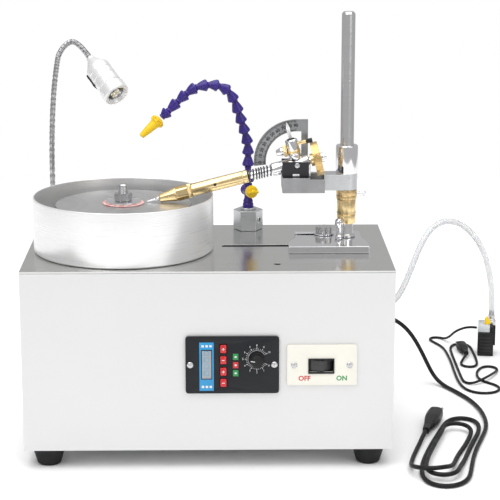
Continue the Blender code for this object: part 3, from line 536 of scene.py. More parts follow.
HOSE_ROUTE = [(186, 243.4, 97), (186.1, 256, 97), (189.5, 271, 97.2), (199, 283, 98), (212, 288.5, 100.5),
    (224, 288.5, 106), (233.5, 287.5, 117.5), (241.5, 287.5, 134.5), (251.5, 290, 160.5),
    (264.1, 300, 185.6), (280.1, 318, 198.9), (298, 338, 199.4), (319.6, 362, 188.8), (340.3, 384, 166.7),
    (354.5, 400, 141.7), (363, 411, 116.2), (368.5, 420, 88.3), (370.8, 428.2, 66), (371, 429, 52.8)]
MAINS_ROUTE = on_bench(2.7, [(158, 247.8, 88), (158.1, 258, 88), (163, 273, 88.5), (177, 285, 90),
    (197, 290, 92), (216, 290, 90), (231.2, 291, 84), (246.7, 294, 70), (259.8, 298, 49.7),
    (271.6, 300, 26), (280, 296, 10), (290, 282, 2.8), (300, 261), (312, 232), (319, 208), (323, 180),
    (323.5, 150), (320, 120), (311, 88), (301, 56), (292, 22), (285, -12), (278, -42), (266, -60),
    (250, -66), (236, -58), (230, -42), (230, -20), (235, 10), (243, 40), (252, 70), (262, 100),
    (271.5, 128), (281, 149), (296, 157), (309, 149), (313, 132), (309, 106), (299, 74), (289, 42),
    (280, 10, 3.4), (272.5, -13, 5.4), (268.5, -30, 7.6), (263, -42, 8.1), (251, -47, 8.2), (239, -42, 8.2),
    (234.3, -29, 8.2), (236, -10, 8.2), (241, 12, 8.2), (249, 40, 8.2), (258, 70, 8.0), (265.5, 93, 8.0),
    (268, 106, 8.0), (273, 118, 8.0), (284.5, 123, 8.0), (296.5, 118, 7.4), (301.5, 105, 5.8),
    (296.5, 88, 3.4), (288, 62), (276, 30), (270, 10, 3.0), (266, -6, 5.2), (261, -22, 9.2),
    (252, -36, 13.4), (238, -42, 13.9), (225.5, -35, 12.4), (220, -20, 8.6), (220.5, -2, 4.0), (224, 18),
    (229, 38), (236, 62, 3.6), (243.8, 86, 7.0), (247.3, 97, 7.8)])
PUMP_CORD_ROUTE = on_bench(1.8, [(352.6, 434.8, 33), (345.5, 439.5, 32.6), (337, 450, 28), (328, 464, 19),
    (322, 477, 8), (316.5, 488, 2.4), (311, 496.3), (303, 497.3), (297, 491), (297.5, 482), (303, 469),
    (308.5, 454), (311.5, 436), (312.5, 405), (312.5, 375), (311.5, 335), (312, 295), (316.5, 269),
    (327, 254.5), (341, 251.5), (353, 257), (359.5, 270), (355.5, 285), (345, 297), (338.5, 313),
    (339.5, 334), (345.5, 352), (353, 362), (362, 362.5), (368, 354.5), (367, 343, 2.2), (360.5, 327, 4.2),
    (350.5, 309, 5.4), (339, 295, 4.8), (330, 289, 3.0), (322.5, 290.5), (318.3, 298.5), (317.6, 312),
    (317.6, 345), (318, 380), (318.5, 420), (320, 446), (325.5, 460.5), (335, 467), (343.8, 461),
    (347.3, 447), (347.3, 425), (347.3, 400), (345.8, 377), (342.8, 364.5), (334.8, 359.5), (326.8, 364),
    (324.3, 374), (328, 387, 2.6), (334, 400, 5.0), (335.9, 406.5, 5.8)])
PUMP_X, PUMP_Y, PUMP_YAW = 363.5, 426.0, math.radians(-8)


def mains_plug(node, x, y, turn, width, length, height, pin_length):
    """A moulded two-pin plug: ribbed strain relief, waisted grip, flat face and two round pins."""
    place = Matrix.Translation(at(x, y, GAP)) @ Matrix.Rotation(turn, 4, "Z")
    half, relief = width / 2, length * 0.34
    bm = bmesh.new()
    rings = []
    for i in range(49):
        reach = i / 48 * length
        if reach < relief:
            grow = reach / relief
            w = half * (0.42 + 0.24 * grow) * (0.86 if int(grow * 12) % 2 else 1.0)
        else:
            grow = (reach - relief) / (length - relief)
            swell = math.sin(min(1.0, grow * 1.7) * math.pi / 2)
            w = half * (0.66 + 0.34 * swell - 0.4 * max(0.0, grow - 0.8))
        h = height / 2 * (0.52 + 0.46 * min(1.0, max(0.0, (reach - relief * 0.6) / (length * 0.4))))
        ring = []
        for k in range(24):
            c, s = math.cos(2 * math.pi * k / 24), math.sin(2 * math.pi * k / 24)
            ring.append(bm.verts.new((math.copysign(abs(c) ** 0.62, c) * w * MM, reach * MM,
                (math.copysign(abs(s) ** 0.62, s) * h + height / 2) * MM)))
        rings.append(ring)
    skin(bm, rings)
    parts = [make("piece", bm, BLACK, place, angle=45)]
    along = place.to_3x3() @ Vector((0, 1, 0))
    sleeve = [(0, 0), (2.0, 0), (2.0, pin_length * 0.5), (0, pin_length * 0.5)]
    pin = [(0, pin_length * 0.4), (1.9, pin_length * 0.4), (1.9, pin_length), (1.1, pin_length + 1),
        (0, pin_length + 1)]
    for side in (-1, 1):
        spot = place @ Vector((side * half * 0.5 * MM, (length - 1) * MM, height / 2 * MM))
        parts += [turned(BLACK, sleeve, spot, along, 20), turned(CHROME, pin, spot, along, 20)]
    return joined_node(node, parts)


def make_cords():
    plug = mains_plug("mains_plug", 247.5, 97.4, math.radians(-17), 18, 66, 15, 17)
    mains, mains_length = tube("mains_lead", CORD, MAINS_ROUTE, 5.0)
    dress(mains, "mains_cord")
    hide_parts("mains_cord_hank")
    refine("cable_gland", BLACK, 0.3)

    pump = make_pump()
    hose, hose_length = tube("clear_hose", HOSE, HOSE_ROUTE, 7.4)
    dress(hose, "water_hose")

    small = mains_plug("pump_plug", 336, 407.2, math.radians(3), 14, 40, 11, 12)
    lead, lead_length = tube("pump_lead", CORD, PUMP_CORD_ROUTE, 3.2, 2.0)
    dress(lead, "pump_cord")
    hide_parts("pump_cord_hank")


def make_pump():
    """A small submersible pump: black body, clear chamber, yellow flow lever, outlet and clip."""
    place = Matrix.Translation(at(PUMP_X, PUMP_Y, GAP)) @ Matrix.Rotation(PUMP_YAW, 4, "Z")
    boxes = [(BLACK, (-10.3, -13.3, 0), (10.3, 13.3, 32), 1.4),
        (CLEAR, (-10.1, -13.1, 32.2), (5.2, 13.1, 42.2), 1.0),
        (BLACK, (5.4, -13.3, 32), (10.3, 13.3, 40.0), 1.2),
        (BLACK, (10.4, -10.5, 14), (12.6, -5.5, 40), 0.6),
        (BLACK, (9.0, -10.5, 38.6), (12.6, -5.5, 40.6), 0.5)]
    parts = [block(*box, place, 3) for box in boxes]
    parts.append(block(MARKING_AND_SHADE, (-10.4, -13.4, 30.6), (10.4, 13.4, 31.2), 0.1, place))
    for z in (6, 10.4, 14.8, 19.2, 23.6):
        parts.append(block(MARKING_AND_SHADE, (-7.5, -13.5, z), (7.5, -13.1, z + 1.5), 0.1, place))
    whole = joined_node("water_pump", parts)
    outlet = turned(STEEL, [(0, 38), (5.8, 38), (5.8, 44.5), (5.0, 45), (5.0, 46.5), (4.3, 47), (4.3, 52),
        (3.4, 52.5), (0, 52.5)], at(371, 429, 0), sides=32, name="pump_outlet")
    dress(outlet, body="machine", slot=SLOT_OF["water_pump"])
    bm = bmesh.new()
    flame = [(0, 0, 3.0), (1.5, 2.5, 4.2), (1.0, 5.5, 3.6), (-0.6, 8.5, 2.4), (0.2, 11.0, 0.9),
        (0.6, 12.2, 0.2)]
    turns = [2 * math.pi * k / 16 for k in range(16)]
    skin(bm, [[bm.verts.new(((x + r * math.cos(a)) * MM, r * 0.55 * math.sin(a) * MM, z * MM)) for a in turns]
              for x, z, r in flame])
    seat = place @ Matrix.Translation((1.0 * MM, -8.5 * MM, 41.5 * MM))
    lever = make("pump_flow_lever", bm, YELLOW, seat, angle=60)
    dress(lever, body="machine", slot=SLOT_OF["valve_knob"])
    return [whole, outlet, lever]


# ---------------------------------------------------------------- case

def screw_head(x, y, z, radius):
    """A pan-head cross screw facing the front, for joining into a piece."""
    arm = radius * 0.55
    parts = [turned(STEEL, [(0, 0), (radius, 0), (radius, 0.6), (radius * 0.72, 1.3), (0, 1.6)], at(x, y, z),
        TO_FRONT, 28, 0.15)]
    # The cross slot is two near-black bars on the head: painted shade in the recess.
    for dx, dz in ((arm, 0.3), (0.3, arm)):
        parts.append(block(MARKING_AND_SHADE, (x - dx, y - 1.72, z - dz), (x + dx, y - 1.4, z + dz), 0.05))
    return joined("piece", parts)


def make_case():
    refine("case_shell", CASE, 0.7, 3)
    refine("deck_plate", DECK, 0.25)
    for side, x in (("left", -175), ("right", 175)):
        for end, y in (("front", 22), ("rear", 203)):
            turned_node(f"foot_{end}_{side}", RUBBER, [(0, 3), (5, 3), (5, 0), (11.2, 0), (13, 1.6),
                (18, 18.5), (18, 20.6), (0, 20.6)], at(x, y, 0), sides=48, ease=0.8)
    refine("drive_motor", BLACK_OXIDE, 0.5)
    turned_node("hose_port", BRASS, [(0, -10), (3.6, -10), (3.6, 0), (8, 0), (8, 4), (4.5, 4.5), (4.5, 8),
        (4.0, 8.4), (4.5, 11), (3.9, 11.4), (4.3, 14), (3.4, 16.8), (0, 16.8)], at(186, 225.3, 97),
        (0, 1, 0), 32)


# ---------------------------------------------------------------- front panel

PANEL_CORNERS = ((-24.3, 86.4), (76.1, 149.8))
SWITCH_CORNERS = ((84.6, 95.1), (159.7, 140.1))
KEY_HEIGHTS = (136.2, 123.8, 111.0, 98.4)
KNOB_X, KNOB_Z = 52.2, 124.9


def make_panel():
    pockets = [rounded((12.4, z - 5.0), (20.2, z + 5.0), 1.0, 3) for z in KEY_HEIGHTS]
    plate = prism(PANEL, rounded(*PANEL_CORNERS, 3.2), 3.0, front_place(0, -0.3, 0), 0.4, 2, pockets)
    joined_node("control_panel", [plate, block(BLACK, (-19, 0.1, 93), (71, 44, 143), 0.8)])

    y = -3.3
    parts = [block(BLUE_LABEL, (-9.4, y - 0.35, 89.5), (6.0, y + 0.1, 143.5), 0.12),
        block(MARKING_AND_SHADE, (-7.6, y - 0.6, 102.2), (4.4, y, 135.6), 0.25),
        block(DISPLAY, (-6.6, y - 0.75, 103.4), (3.4, y - 0.2, 134.2), 0.2)]
    for i in range(4):
        z = 106.8 + i * 7.4
        for x0, z0, x1, z1 in ((-3.6, 0, 0.4, 0.5), (-3.6, 4.6, 0.4, 5.1), (-4.2, 0.4, -3.7, 4.7),
                (0.5, 0.4, 1.0, 4.7)):
            parts.append(block(BLUE_LABEL, (x0, y - 0.82, z + z0), (x1, y - 0.7, z + z1), 0.02))
    for x in (-7, -2.8, 1.4):
        for z in (138.2, 92.6):
            parts.append(block(WHITE_PRINT, (x, y - 0.42, z),
                (x + 2.6, y - 0.3, z + (2.4 if z > 100 else 2.6)), 0.03))
    for z, material in ((127.4, GREEN), (118.2, RED_PRINT), (109.2, GREEN)):
        parts += [block(material, (26.6, y - 0.7, z - 3.4), (32.4, y, z + 3.4), 0.4),
            block(WHITE_PRINT, (28.4, y - 0.76, z - 0.9), (30.6, y - 0.6, z + 0.9), 0.05),
            block(MARKING_AND_SHADE, (26.2, y - 0.2, z - 4.0), (32.8, y + 0.1, z + 4.0), 0.1)]
    parts += [screw_head(x, y, 118.4, 3.5) for x in (-19.3, 71.0)]
    dress(joined("panel_details", parts), body="machine", slot="panel_plastic")

    parts = []
    y -= 0.05
    for i in range(31):
        a = 30 + i * 10
        outer, half = (12.9, 0.26) if i % 3 == 0 else (11.9, 0.16)
        place = front_place(KNOB_X, y, KNOB_Z, math.radians(a))
        parts.append(block(WHITE_PRINT, (10.4, -half, 0), (outer, half, 0.1), 0.02, place))
        for k in range(3 if i < 30 else 0):
            place = front_place(KNOB_X, y, KNOB_Z, math.radians(a + 10 * k / 3 + 1.6))
            parts.append(block(WHITE_PRINT, (9.3, -0.34, 0), (9.65, 0.34, 0.1), 0.02, place))
    for i in range(11):
        a = math.radians(30 + i * 30)
        place = front_place(KNOB_X + 15.0 * math.cos(a), y - 0.05, KNOB_Z + 15.0 * math.sin(a))
        parts.append(words(str(10 - i), 3.0, WHITE_PRINT, place))
    dress(joined("dial_print", parts), body="machine", slot="panel_plastic")

    base = at(KNOB_X, -3.6, KNOB_Z)
    grip = prism(BLACK, toothed(24, 6.9, 7.35, 0.45), 9.0, front_place(KNOB_X, -5.6, KNOB_Z), 0.25)
    skirt = turned(BLACK, [(0, 0), (7.6, 0), (7.6, 1.2), (7.0, 2.0), (0, 2.0)], base, TO_FRONT)
    cap = turned(BLACK, [(0, 10.6), (6.5, 10.6), (6.3, 12.0), (5.2, 12.6), (0, 12.6)], base, TO_FRONT)
    line = block(WHITE_PRINT, (-0.4, 2.2, 0), (0.4, 6.9, 0.25), 0.05,
        front_place(KNOB_X, -16.0, KNOB_Z, math.radians(80)))
    joined_node("speed_knob", [grip, skirt, cap, line])

    for i, z in enumerate(KEY_HEIGHTS, 1):
        key = [block(RED, (12.9, -4.8, z - 4.5), (19.7, -1.4, z + 4.5), 1.1, segments=4),
            block(WHITE_PRINT, (14.9, -4.92, z - 0.35), (17.7, -4.75, z + 0.35), 0.04)]
        if i % 2:
            key.append(block(WHITE_PRINT, (15.95, -4.92, z - 1.4), (16.65, -4.75, z + 1.4), 0.04))
        joined_node(f"panel_key_{i}", key)


def make_switch():
    well = rounded((108.6, 109.8), (134.2, 123.2), 0.6, 2)
    plate = prism(IVORY, rounded(*SWITCH_CORNERS, 2.4), 2.5, front_place(0, -0.3, 0), 0.7, 3, [well])
    joined_node("switch_plate", [plate, block(BLACK, (107.5, 7.2, 108.5), (135.5, 25, 124.5), 0.6)])
    y = -2.8
    rim = ((107.4, 122.9, 135.4, 124.9), (107.4, 108.0, 135.4, 110.0), (107.4, 109.6, 108.9, 123.2),
        (133.9, 109.6, 135.4, 123.2))
    walls = ((107.6, 108.6, 135.4, 109.6), (107.6, 123.4, 135.4, 124.4), (107.4, 108.6, 108.4, 124.4),
        (134.4, 108.6, 135.4, 124.4))
    parts = [block(BLACK, (x0, y - 0.9, z0), (x1, y + 0.2, z1), 0.3) for x0, z0, x1, z1 in rim]
    parts += [block(MARKING_AND_SHADE, (x0, -0.2, z0), (x1, 7.1, z1), 0.1) for x0, z0, x1, z1 in walls]
    for text, x, material in (("OFF", 103.4, RED_PRINT), ("ON", 143.5, GREEN)):
        parts.append(words(text, 7.4, material, front_place(x, y - 0.02, 102.6), 0.09, 0.22))
    parts += [screw_head(x, y, 117.6, 3.4) for x in (92.2, 151.9)]
    dress(joined("switch_details", parts), body="machine", slot="ivory_plastic")

    slope = [(11.7 * (1 - t), 1.0 - 4.8 * t ** 1.15) for t in (0, 0.25, 0.5, 0.75, 0.94)]
    outline = [(-x, z) for x, z in slope] + [(0, -3.9)] + slope[::-1] + [(11.7, 2.2), (0, 4.2),
        (-11.7, 2.2)]
    lean = Matrix.Translation(at(121.4, 0, 110.7)) @ Matrix.Rotation(math.radians(7), 4, "Z")
    dress(prism(ROCKER, outline, 11.5, lean, 0.35, 3, name="rocker_switch_fine"), "rocker_switch")


# ---------------------------------------------------------------- grinding side

def make_grinding():
    centre = at(BOWL_X, BOWL_Y, 0)
    foot, top = 221.3, 282.1
    wall = [(22, foot), (98, foot), (100, foot + 2), (100, top - 1.6), (100.0, top - 0.5), (99.4, top),
        (98.6, top), (98.2, top - 0.6), (98.2, foot + 3.5), (96.5, foot + 2), (24, foot + 2),
        (24, foot + 24), (22, foot + 24)]
    bowl = turned(BOWL_OUT, wall, centre, sides=160, ease=0.5, name="bowl")
    bowl.data.materials.append(BOWL_IN)
    for face in bowl.data.polygons:
        spot = face.center / MM
        if math.hypot(spot.x, spot.y) < 98.5 and spot.z < top - 0.5 and spot.z > foot + 1:
            face.material_index = 1
    dress(bowl, "splash_bowl")

    thread = []
    z = 284.8
    while z < 292.2:
        thread += [(5.4, z), (4.75, z + 0.5), (5.4, z + 1.0)]
        z += 1.25
    shaft = [(0, 170), (6, 170), (6, 250), (18, 252), (20, 262), (68, 263), (68, 270.4),
        (5.4, 270.4)] + thread
    shaft += [(5.4, 293.0), (3.8, 294.5), (0, 294.5)]
    turned_node("spindle_shaft", STEEL, shaft, centre, sides=64, ease=0.1)
    turned_node("lap_disc", LAP, [(5.7, 270.7), (75, 270.7), (75, 272.7), (5.7, 272.7)], centre, sides=128,
        ease=0.3)
    turned_node("paper_washer", STAINED, [(5.7, 273.0), (23, 273.0), (23, 273.8), (5.7, 273.8)], centre,
        sides=72, ease=0.1)
    turned_node("clamp_washer", CHROME, [(5.7, 274.1), (19.5, 274.1), (19.5, 275.9), (5.7, 275.9)], centre,
        sides=72, ease=0.35)
    nut = hexagon(STEEL, 10, 8.2, at(BOWL_X, BOWL_Y, 276.2), UP, math.radians(8), "nut")
    dress(nut, "spindle_nut")


# ---------------------------------------------------------------- lamp

LAMP_ROUTE = [(-181, 200, 236.4), (-180.8, 200, 260), (-180.4, 200, 321.7), (-177.3, 200, 377.6),
    (-171.9, 200, 418.3), (-167.5, 199, 430.5), (-160.8, 197.5, 438.3), (-153.1, 195, 441.5),
    (-145.4, 193.2, 437.2), (-138.4, 189.7, 430), (-133.6, 184, 424.6)]
LAMP_AIM = Vector((0.52, -0.62, -0.59)).normalized()


def make_lamp():
    turned_node("lamp_base", CHROME, [(0, 0.3), (14, 0.3), (14, 5.5), (12.5, 7.2), (11, 8), (6.5, 13),
        (5.2, 15), (0, 15)], at(-181, 200, 221), sides=64, ease=0.5)
    route, length = smooth_route(LAMP_ROUTE, 0.5)
    rib = length / (len(route) - 1) / 2.8
    radii = [2.35 + 0.9 * abs(math.sin(math.pi * i * rib)) ** 0.6 for i in range(len(route))]
    dress(swept("gooseneck_ribs", FLEX, route, radii, 18, 60), "lamp_gooseneck")

    neck = at(*LAMP_ROUTE[-1]) + LAMP_AIM * 0.8 * MM
    head = turned(PALE_ALLOY, [(0, 0), (4.5, 0), (4.5, 3), (5.6, 4.2), (11.0, 13.5), (11.6, 15), (13.6, 17),
        (14, 18.5), (14, 25.4), (13.5, 25.9), (13.5, 26.9), (14, 27.4), (14, 34.4), (13.5, 34.9),
        (13.5, 35.9), (14, 36.4), (14, 46.5), (13.0, 47.3), (13.0, 48.8), (14.8, 49.6), (14.8, 60.6),
        (14.2, 61.8), (13.4, 62), (11.6, 62), (10.8, 60.4), (9.4, 57.2), (0, 57)], neck, LAMP_AIM, 72, 0.25,
        "head")
    dress(head, "lamp_head")
    place = facing(neck + LAMP_AIM * 58.7 * MM, LAMP_AIM)
    parts = [turned(LENS, [(0, 57.3), (8.8, 57.3), (9.0, 58.6), (0, 58.8)], neck, LAMP_AIM, 48, 0.2)]
    for k in range(4):
        a = math.pi / 4 + k * math.pi / 2
        spot = place @ Vector((3.7 * math.cos(a) * MM, 3.7 * math.sin(a) * MM, 0))
        parts.append(turned(CHROME, [(3.2, 0), (3.2, 0.5), (2.9, 0.5), (1.3, 0.1), (1.3, 0)], spot, LAMP_AIM,
            28, 0.05))
        parts.append(turned(LED, [(0, 0), (1.25, 0), (1.15, 0.5), (0.7, 0.9), (0, 1.05)], spot, LAMP_AIM, 20,
            0.1))
    joined_node("lamp_lens", parts)

    outward = Vector((-0.83, 0, -0.56))
    outward = (outward - LAMP_AIM * outward.dot(LAMP_AIM)).normalized()
    across = LAMP_AIM.cross(outward)
    seat = neck + (LAMP_AIM * 27 + outward * 13.6) * MM
    axes = Matrix((LAMP_AIM, outward, across)).transposed().to_4x4()
    shape = [(-6.9, 0.6), (-5.5, 0.5), (0, -0.3), (5.5, 0.5), (6.9, 0.6), (6.9, 2.0), (4.5, 1.7), (0, 1.1),
        (-4.5, 1.7), (-6.9, 2.0)]
    rocker = prism(RED, shape, 5.6, Matrix.Translation(seat - across * 2.8 * MM) @ axes, 0.2,
        name="lamp_rocker")
    dress(rocker, "lamp_switch")
    rim = Matrix.Translation(seat) @ axes
    sides = ((-8.6, -4.4, 8.6, -3.1), (-8.6, 3.1, 8.6, 4.4), (-8.8, -4.4, -7.3, 4.4), (7.3, -4.4, 8.8, 4.4))
    bars = [block(BLACK, (x0, -0.8, z0), (x1, 1.4, z1), 0.25, rim) for x0, z0, x1, z1 in sides]
    dress(joined("lamp_switch_rim", bars), body="lamp", slot="black_plastic")


# ---------------------------------------------------------------- water feed

JET_ROUTE = [(46, 205, 276.6), (46, 205, 296), (46, 203.9, 310.4), (45.1, 202, 323.6), (42, 199.7, 336.6),
    (38.3, 197.2, 349), (34.5, 194.6, 361.5), (29.5, 191.4, 375.1), (22.1, 188.2, 386.2), (11, 185, 392.3),
    (-1.3, 181.8, 393.4), (-14.2, 178.1, 390.9), (-25.3, 174.3, 384), (-35.1, 170.4, 375.4),
    (-45.5, 166, 365.6), (-52.5, 163.2, 359.5)]
JET_PROFILE = ((0.0, 3.4), (0.02, 6.2), (0.05, 6.7), (0.16, 6.8), (0.20, 6.5), (0.42, 5.5), (0.66, 4.3),
    (0.76, 3.6), (0.80, 3.5), (0.84, 3.8), (0.90, 4.0), (0.96, 3.7), (0.99, 2.9))
JET_LINKS = 15
JET_X, JET_Y = 46, 205
VALVE_AIM = Vector((0.42, -0.907, 0)).normalized()


def make_water():
    refine("water_manifold", ALLOY, 0.6, 3)
    foot = at(JET_X, JET_Y, 0)
    face = Vector((math.cos(math.radians(-30)), math.sin(math.radians(-30)), 0))
    rim = turned(STEEL, [(2.5, 0), (3.9, 0), (3.6, 0.5), (2.5, 0.5)],
        at(JET_X + 14.98 * face.x, JET_Y + 14.98 * face.y, 233), face, 28, 0.1, "port_rim")
    collar = turned(ALLOY, [(6.4, 244.6), (9.2, 244.6), (9.2, 246.6), (8.6, 247), (6.4, 247)], foot,
        sides=48, name="valve_collar")
    for piece in (rim, collar):
        dress(piece, body="machine", slot="arm_aluminium")
    stem = turned(LINK, [(0, 244.8), (5.6, 244.8), (6.3, 246.5), (6.3, 251), (5.4, 252.5), (5.9, 254),
        (5.2, 256), (4.4, 258), (4.4, 270), (5.0, 273.5), (4.6, 275.3), (0, 275.3)], foot, sides=40)
    barrel = turned(LINK, [(0, 0), (5.4, 0), (6.6, 1.5), (6.6, 4), (6.1, 4.6), (6.1, 10), (6.6, 10.6),
        (6.6, 14.9), (0, 14.9)], at(JET_X, JET_Y, 266.8) - VALVE_AIM * 8.5 * MM, VALVE_AIM, 40)
    joined_node("valve_body", [stem, barrel])
    base = at(JET_X, JET_Y, 266.8) + VALVE_AIM * 6.8 * MM
    rim = prism(YELLOW, toothed(18, 6.8, 7.4, 0.5), 5.2, facing(base, VALVE_AIM), 0.3, 3)
    cap = turned(YELLOW, [(0, 4.8), (6.3, 4.8), (6.0, 6.2), (3.0, 6.6), (2.4, 8.4), (1.6, 8.8), (0, 8.8)],
        base, VALVE_AIM, 40)
    grip = block(YELLOW, (-6.6, -1.2, 5), (6.6, 1.2, 9.2), 0.5, facing(base, VALVE_AIM, math.radians(25)),
        3)
    joined_node("valve_knob", [rim, cap, grip])

    route, _ = smooth_route(JET_ROUTE, 0.45)
    spots, radii = [], []
    for link in range(JET_LINKS):
        for along, radius in JET_PROFILE:
            step = (link + along) / JET_LINKS * (len(route) - 2)
            low = int(step)
            spots.append(route[low].lerp(route[low + 1], step - low))
            radii.append(radius)
    dress(swept("jet_links", LINK, spots, radii, 28, 55), "jet_hose")
    tip = (Vector(JET_ROUTE[-1]) - Vector(JET_ROUTE[-2])).normalized()
    start = at(*JET_ROUTE[-1]) + tip * 1.4 * MM
    cone = turned(YELLOW, [(0, 0.8), (3.4, 0.8), (4.8, 1.2), (7.2, 2.6), (7.6, 3.4), (7.6, 4.2), (6.6, 4.8),
        (6.6, 5.6), (7.6, 6.2), (7.4, 7.4), (5.7, 9), (5.2, 13), (4.6, 18), (4.9, 18.5), (4.5, 19.4),
        (3.1, 29.6), (2.8, 30), (1.7, 30), (1.7, 12), (0, 12)], start, tip, 48, 0.3)
    parts = [cone]
    for k in range(8):
        place = facing(start + tip * 3.4 * MM, tip, 2 * math.pi * k / 8)
        parts.append(block(YELLOW, (6.4, -0.7, -0.2), (8.1, 0.7, 4.0), 0.3, place))
    joined_node("jet_nozzle", parts)


# ---------------------------------------------------------------- mast and arm

MAST = at(155.5, 130, 0)


def make_mast():
    refine("mast_base", CHROME, 0.7, 3)
    bolt = at(131, 140, 0)
    washer = turned(CHROME, [(4.9, 229.3), (11.7, 229.3), (11.7, 231.1), (4.9, 231.1)], bolt, sides=48,
        ease=0.3)
    shank = turned(STEEL, [(0, 212), (9, 212), (9, 218.6), (4.8, 218.6), (4.8, 232), (0, 232)], bolt,
        sides=40)
    head = hexagon(STEEL, 10, 6.9, at(131, 140, 231.2), UP, math.radians(20))
    joined_node("mast_clamp_bolt", [washer, shank, head])
    turned_node("mast_lock_screw", CHROME, [(0, 229.3), (4.4, 229.3), (4.4, 232.6), (3.4, 233.4), (2.8, 234),
        (2.8, 243), (3.4, 243.8), (4.6, 245.6), (4.95, 247.8), (4.6, 250), (3.4, 251.9), (1.8, 252.7),
        (0, 252.9)], at(146.5, 115, 0), sides=40)
    turned_node("mast_rod", MAST_STEEL, [(0, 229.3), (10.5, 229.3), (10.5, 231.6), (7.5, 232.3),
        (7.5, 479.5), (5.6, 482), (0, 482)], MAST, sides=72)
    sleeve = turned(BRASS, [(7.8, 244.8), (10.6, 244.8), (10.6, 254.4), (9.9, 254.8), (9.9, 255.3),
        (10.6, 255.7), (10.6, 271.7), (7.8, 271.7)], MAST, sides=72, ease=0.25)
    parts = [sleeve]
    for i in range(60):
        place = facing(MAST, UP, 2 * math.pi * i / 60)
        parts.append(block(MARKING_AND_SHADE, (10.45, -0.14, 255.9), (10.65, 0.14, 258.6 if i % 5 else 260.6), 0.02,
            place))
    for k in range(12):
        z = 262.2 + (k % 6) * 1.4
        place = facing(MAST, UP, math.radians(-62 + 180 * (k // 6)))
        parts.append(block(MARKING_AND_SHADE, (10.45, -1.4, z), (10.66, 1.4, z + 0.22), 0.02, place))
    joined_node("graduated_sleeve", parts)
    turned_node("height_collar", DARK_BRASS, [(7.8, 272.0), (11, 272.0), (11.6, 272.7), (11.6, 276.2),
        (11.2, 276.6), (11.6, 277.0), (11.6, 282.9), (11, 283.5), (7.8, 283.5)], MAST, sides=72, ease=0.3)
    start = at(167.4, 130, 278.4)
    knurl = prism(CHROME, toothed(20, 3.35, 3.6, 0.45), 6.3, facing(start + Vector((2.3 * MM, 0, 0)),
        (1, 0, 0)), 0.2)
    stem = turned(CHROME, [(0, 0), (2, 0), (2, 2.6), (3.3, 2.7), (3.3, 8.4), (2.6, 9.5), (0, 9.6)], start,
        (1, 0, 0), 32)
    joined_node("collar_lock_screw", [knurl, stem])


PIVOT = (98.6, 110, 316)
TILT = math.radians(14.2)
TIP_WARD = Vector((-math.cos(TILT), 0, -math.sin(TILT)))
POINTER_WARD = Vector((-math.sin(TILT), 0, math.cos(TILT)))


def on_quill(along, above=0.0, aside=0.0):
    return at(*PIVOT) + (TIP_WARD * along + POINTER_WARD * above + Vector((0, -aside, 0))) * MM


def make_arm():
    refine("carriage_arm", ALLOY, 0.6, 3)
    sleeve = turned(CHROME, [(12.05, 302), (12.25, 302.4), (12.25, 332.4), (11.6, 333.5), (7.9, 333.5),
        (7.9, 333.0), (11.8, 333.0), (11.8, 302)], MAST, sides=72, ease=0.2, name="arm_sleeve")
    dress(sleeve, body="arm", slot="chrome")
    # The yoke block's darker steel is painted shade from its shadowed front.
    refine("yoke_block", YOKE_SHADED_STEEL, 0.6, 3)
    refine("pivot_cheeks", BLACK_OXIDE, 0.4, 2)
    screw = [(0, -0.6), (2.8, -0.6), (2.8, 0.5), (1.54, 0.6), (1.4, 0.1), (0, 0.1)]
    parts = [turned(BLACK_OXIDE, screw, at(140, 142, 292.6), (0, 1, 0), 28, 0.1),
        block(PALE_ALLOY, (93.6, 97.15, 304.3), (101.0, 97.7, 306.6), 0.15),
        block(PALE_ALLOY, (109.8, 98.3, 303.4), (113.4, 101.2, 316.5), 0.3),
        block(PALE_ALLOY, (107.0, 98.3, 303.4), (113.4, 106.5, 305.0), 0.3)]
    dress(joined("arm_trim", parts), body="arm", slot="arm_aluminium")

    refine("protractor", GREY_STEEL, 0.25)
    parts = []
    x0, z0, y = PIVOT[0], PIVOT[2], 122.75
    for i in range(0, 93, 2):
        place = front_place(x0, y, z0, math.radians(91 + i))
        high, low = (43.2, 37.6) if i % 10 == 0 else (44.6, 36.2)
        for inner, outer in ((high, 46.9), (34.7, low)):
            parts.append(block(MARKING_AND_SHADE, (inner, -0.34, 0), (outer, 0.34, 0.08), 0.02, place))
    for i in range(10):
        a = math.radians(91 + i * 10)
        place = front_place(x0 + 40.6 * math.cos(a), y - 0.02, z0 + 40.6 * math.sin(a), a - math.pi / 2)
        parts.append(words(str(90 - i * 10), 5.0, MARKING_AND_SHADE, place, 0.04, 0.16))
    dress(joined("protractor_marks", parts), body="arm", slot="dark_steel")


# ---------------------------------------------------------------- tilting head and quill

def tilt_block(material, low, high, bevel):
    """A box in the tilting head between two (along, above, aside) corners."""
    axes = Matrix((TIP_WARD, POINTER_WARD, Vector((0, -1, 0)))).transposed().to_4x4()
    return block(material, low, high, bevel, Matrix.Translation(on_quill(0)) @ axes)


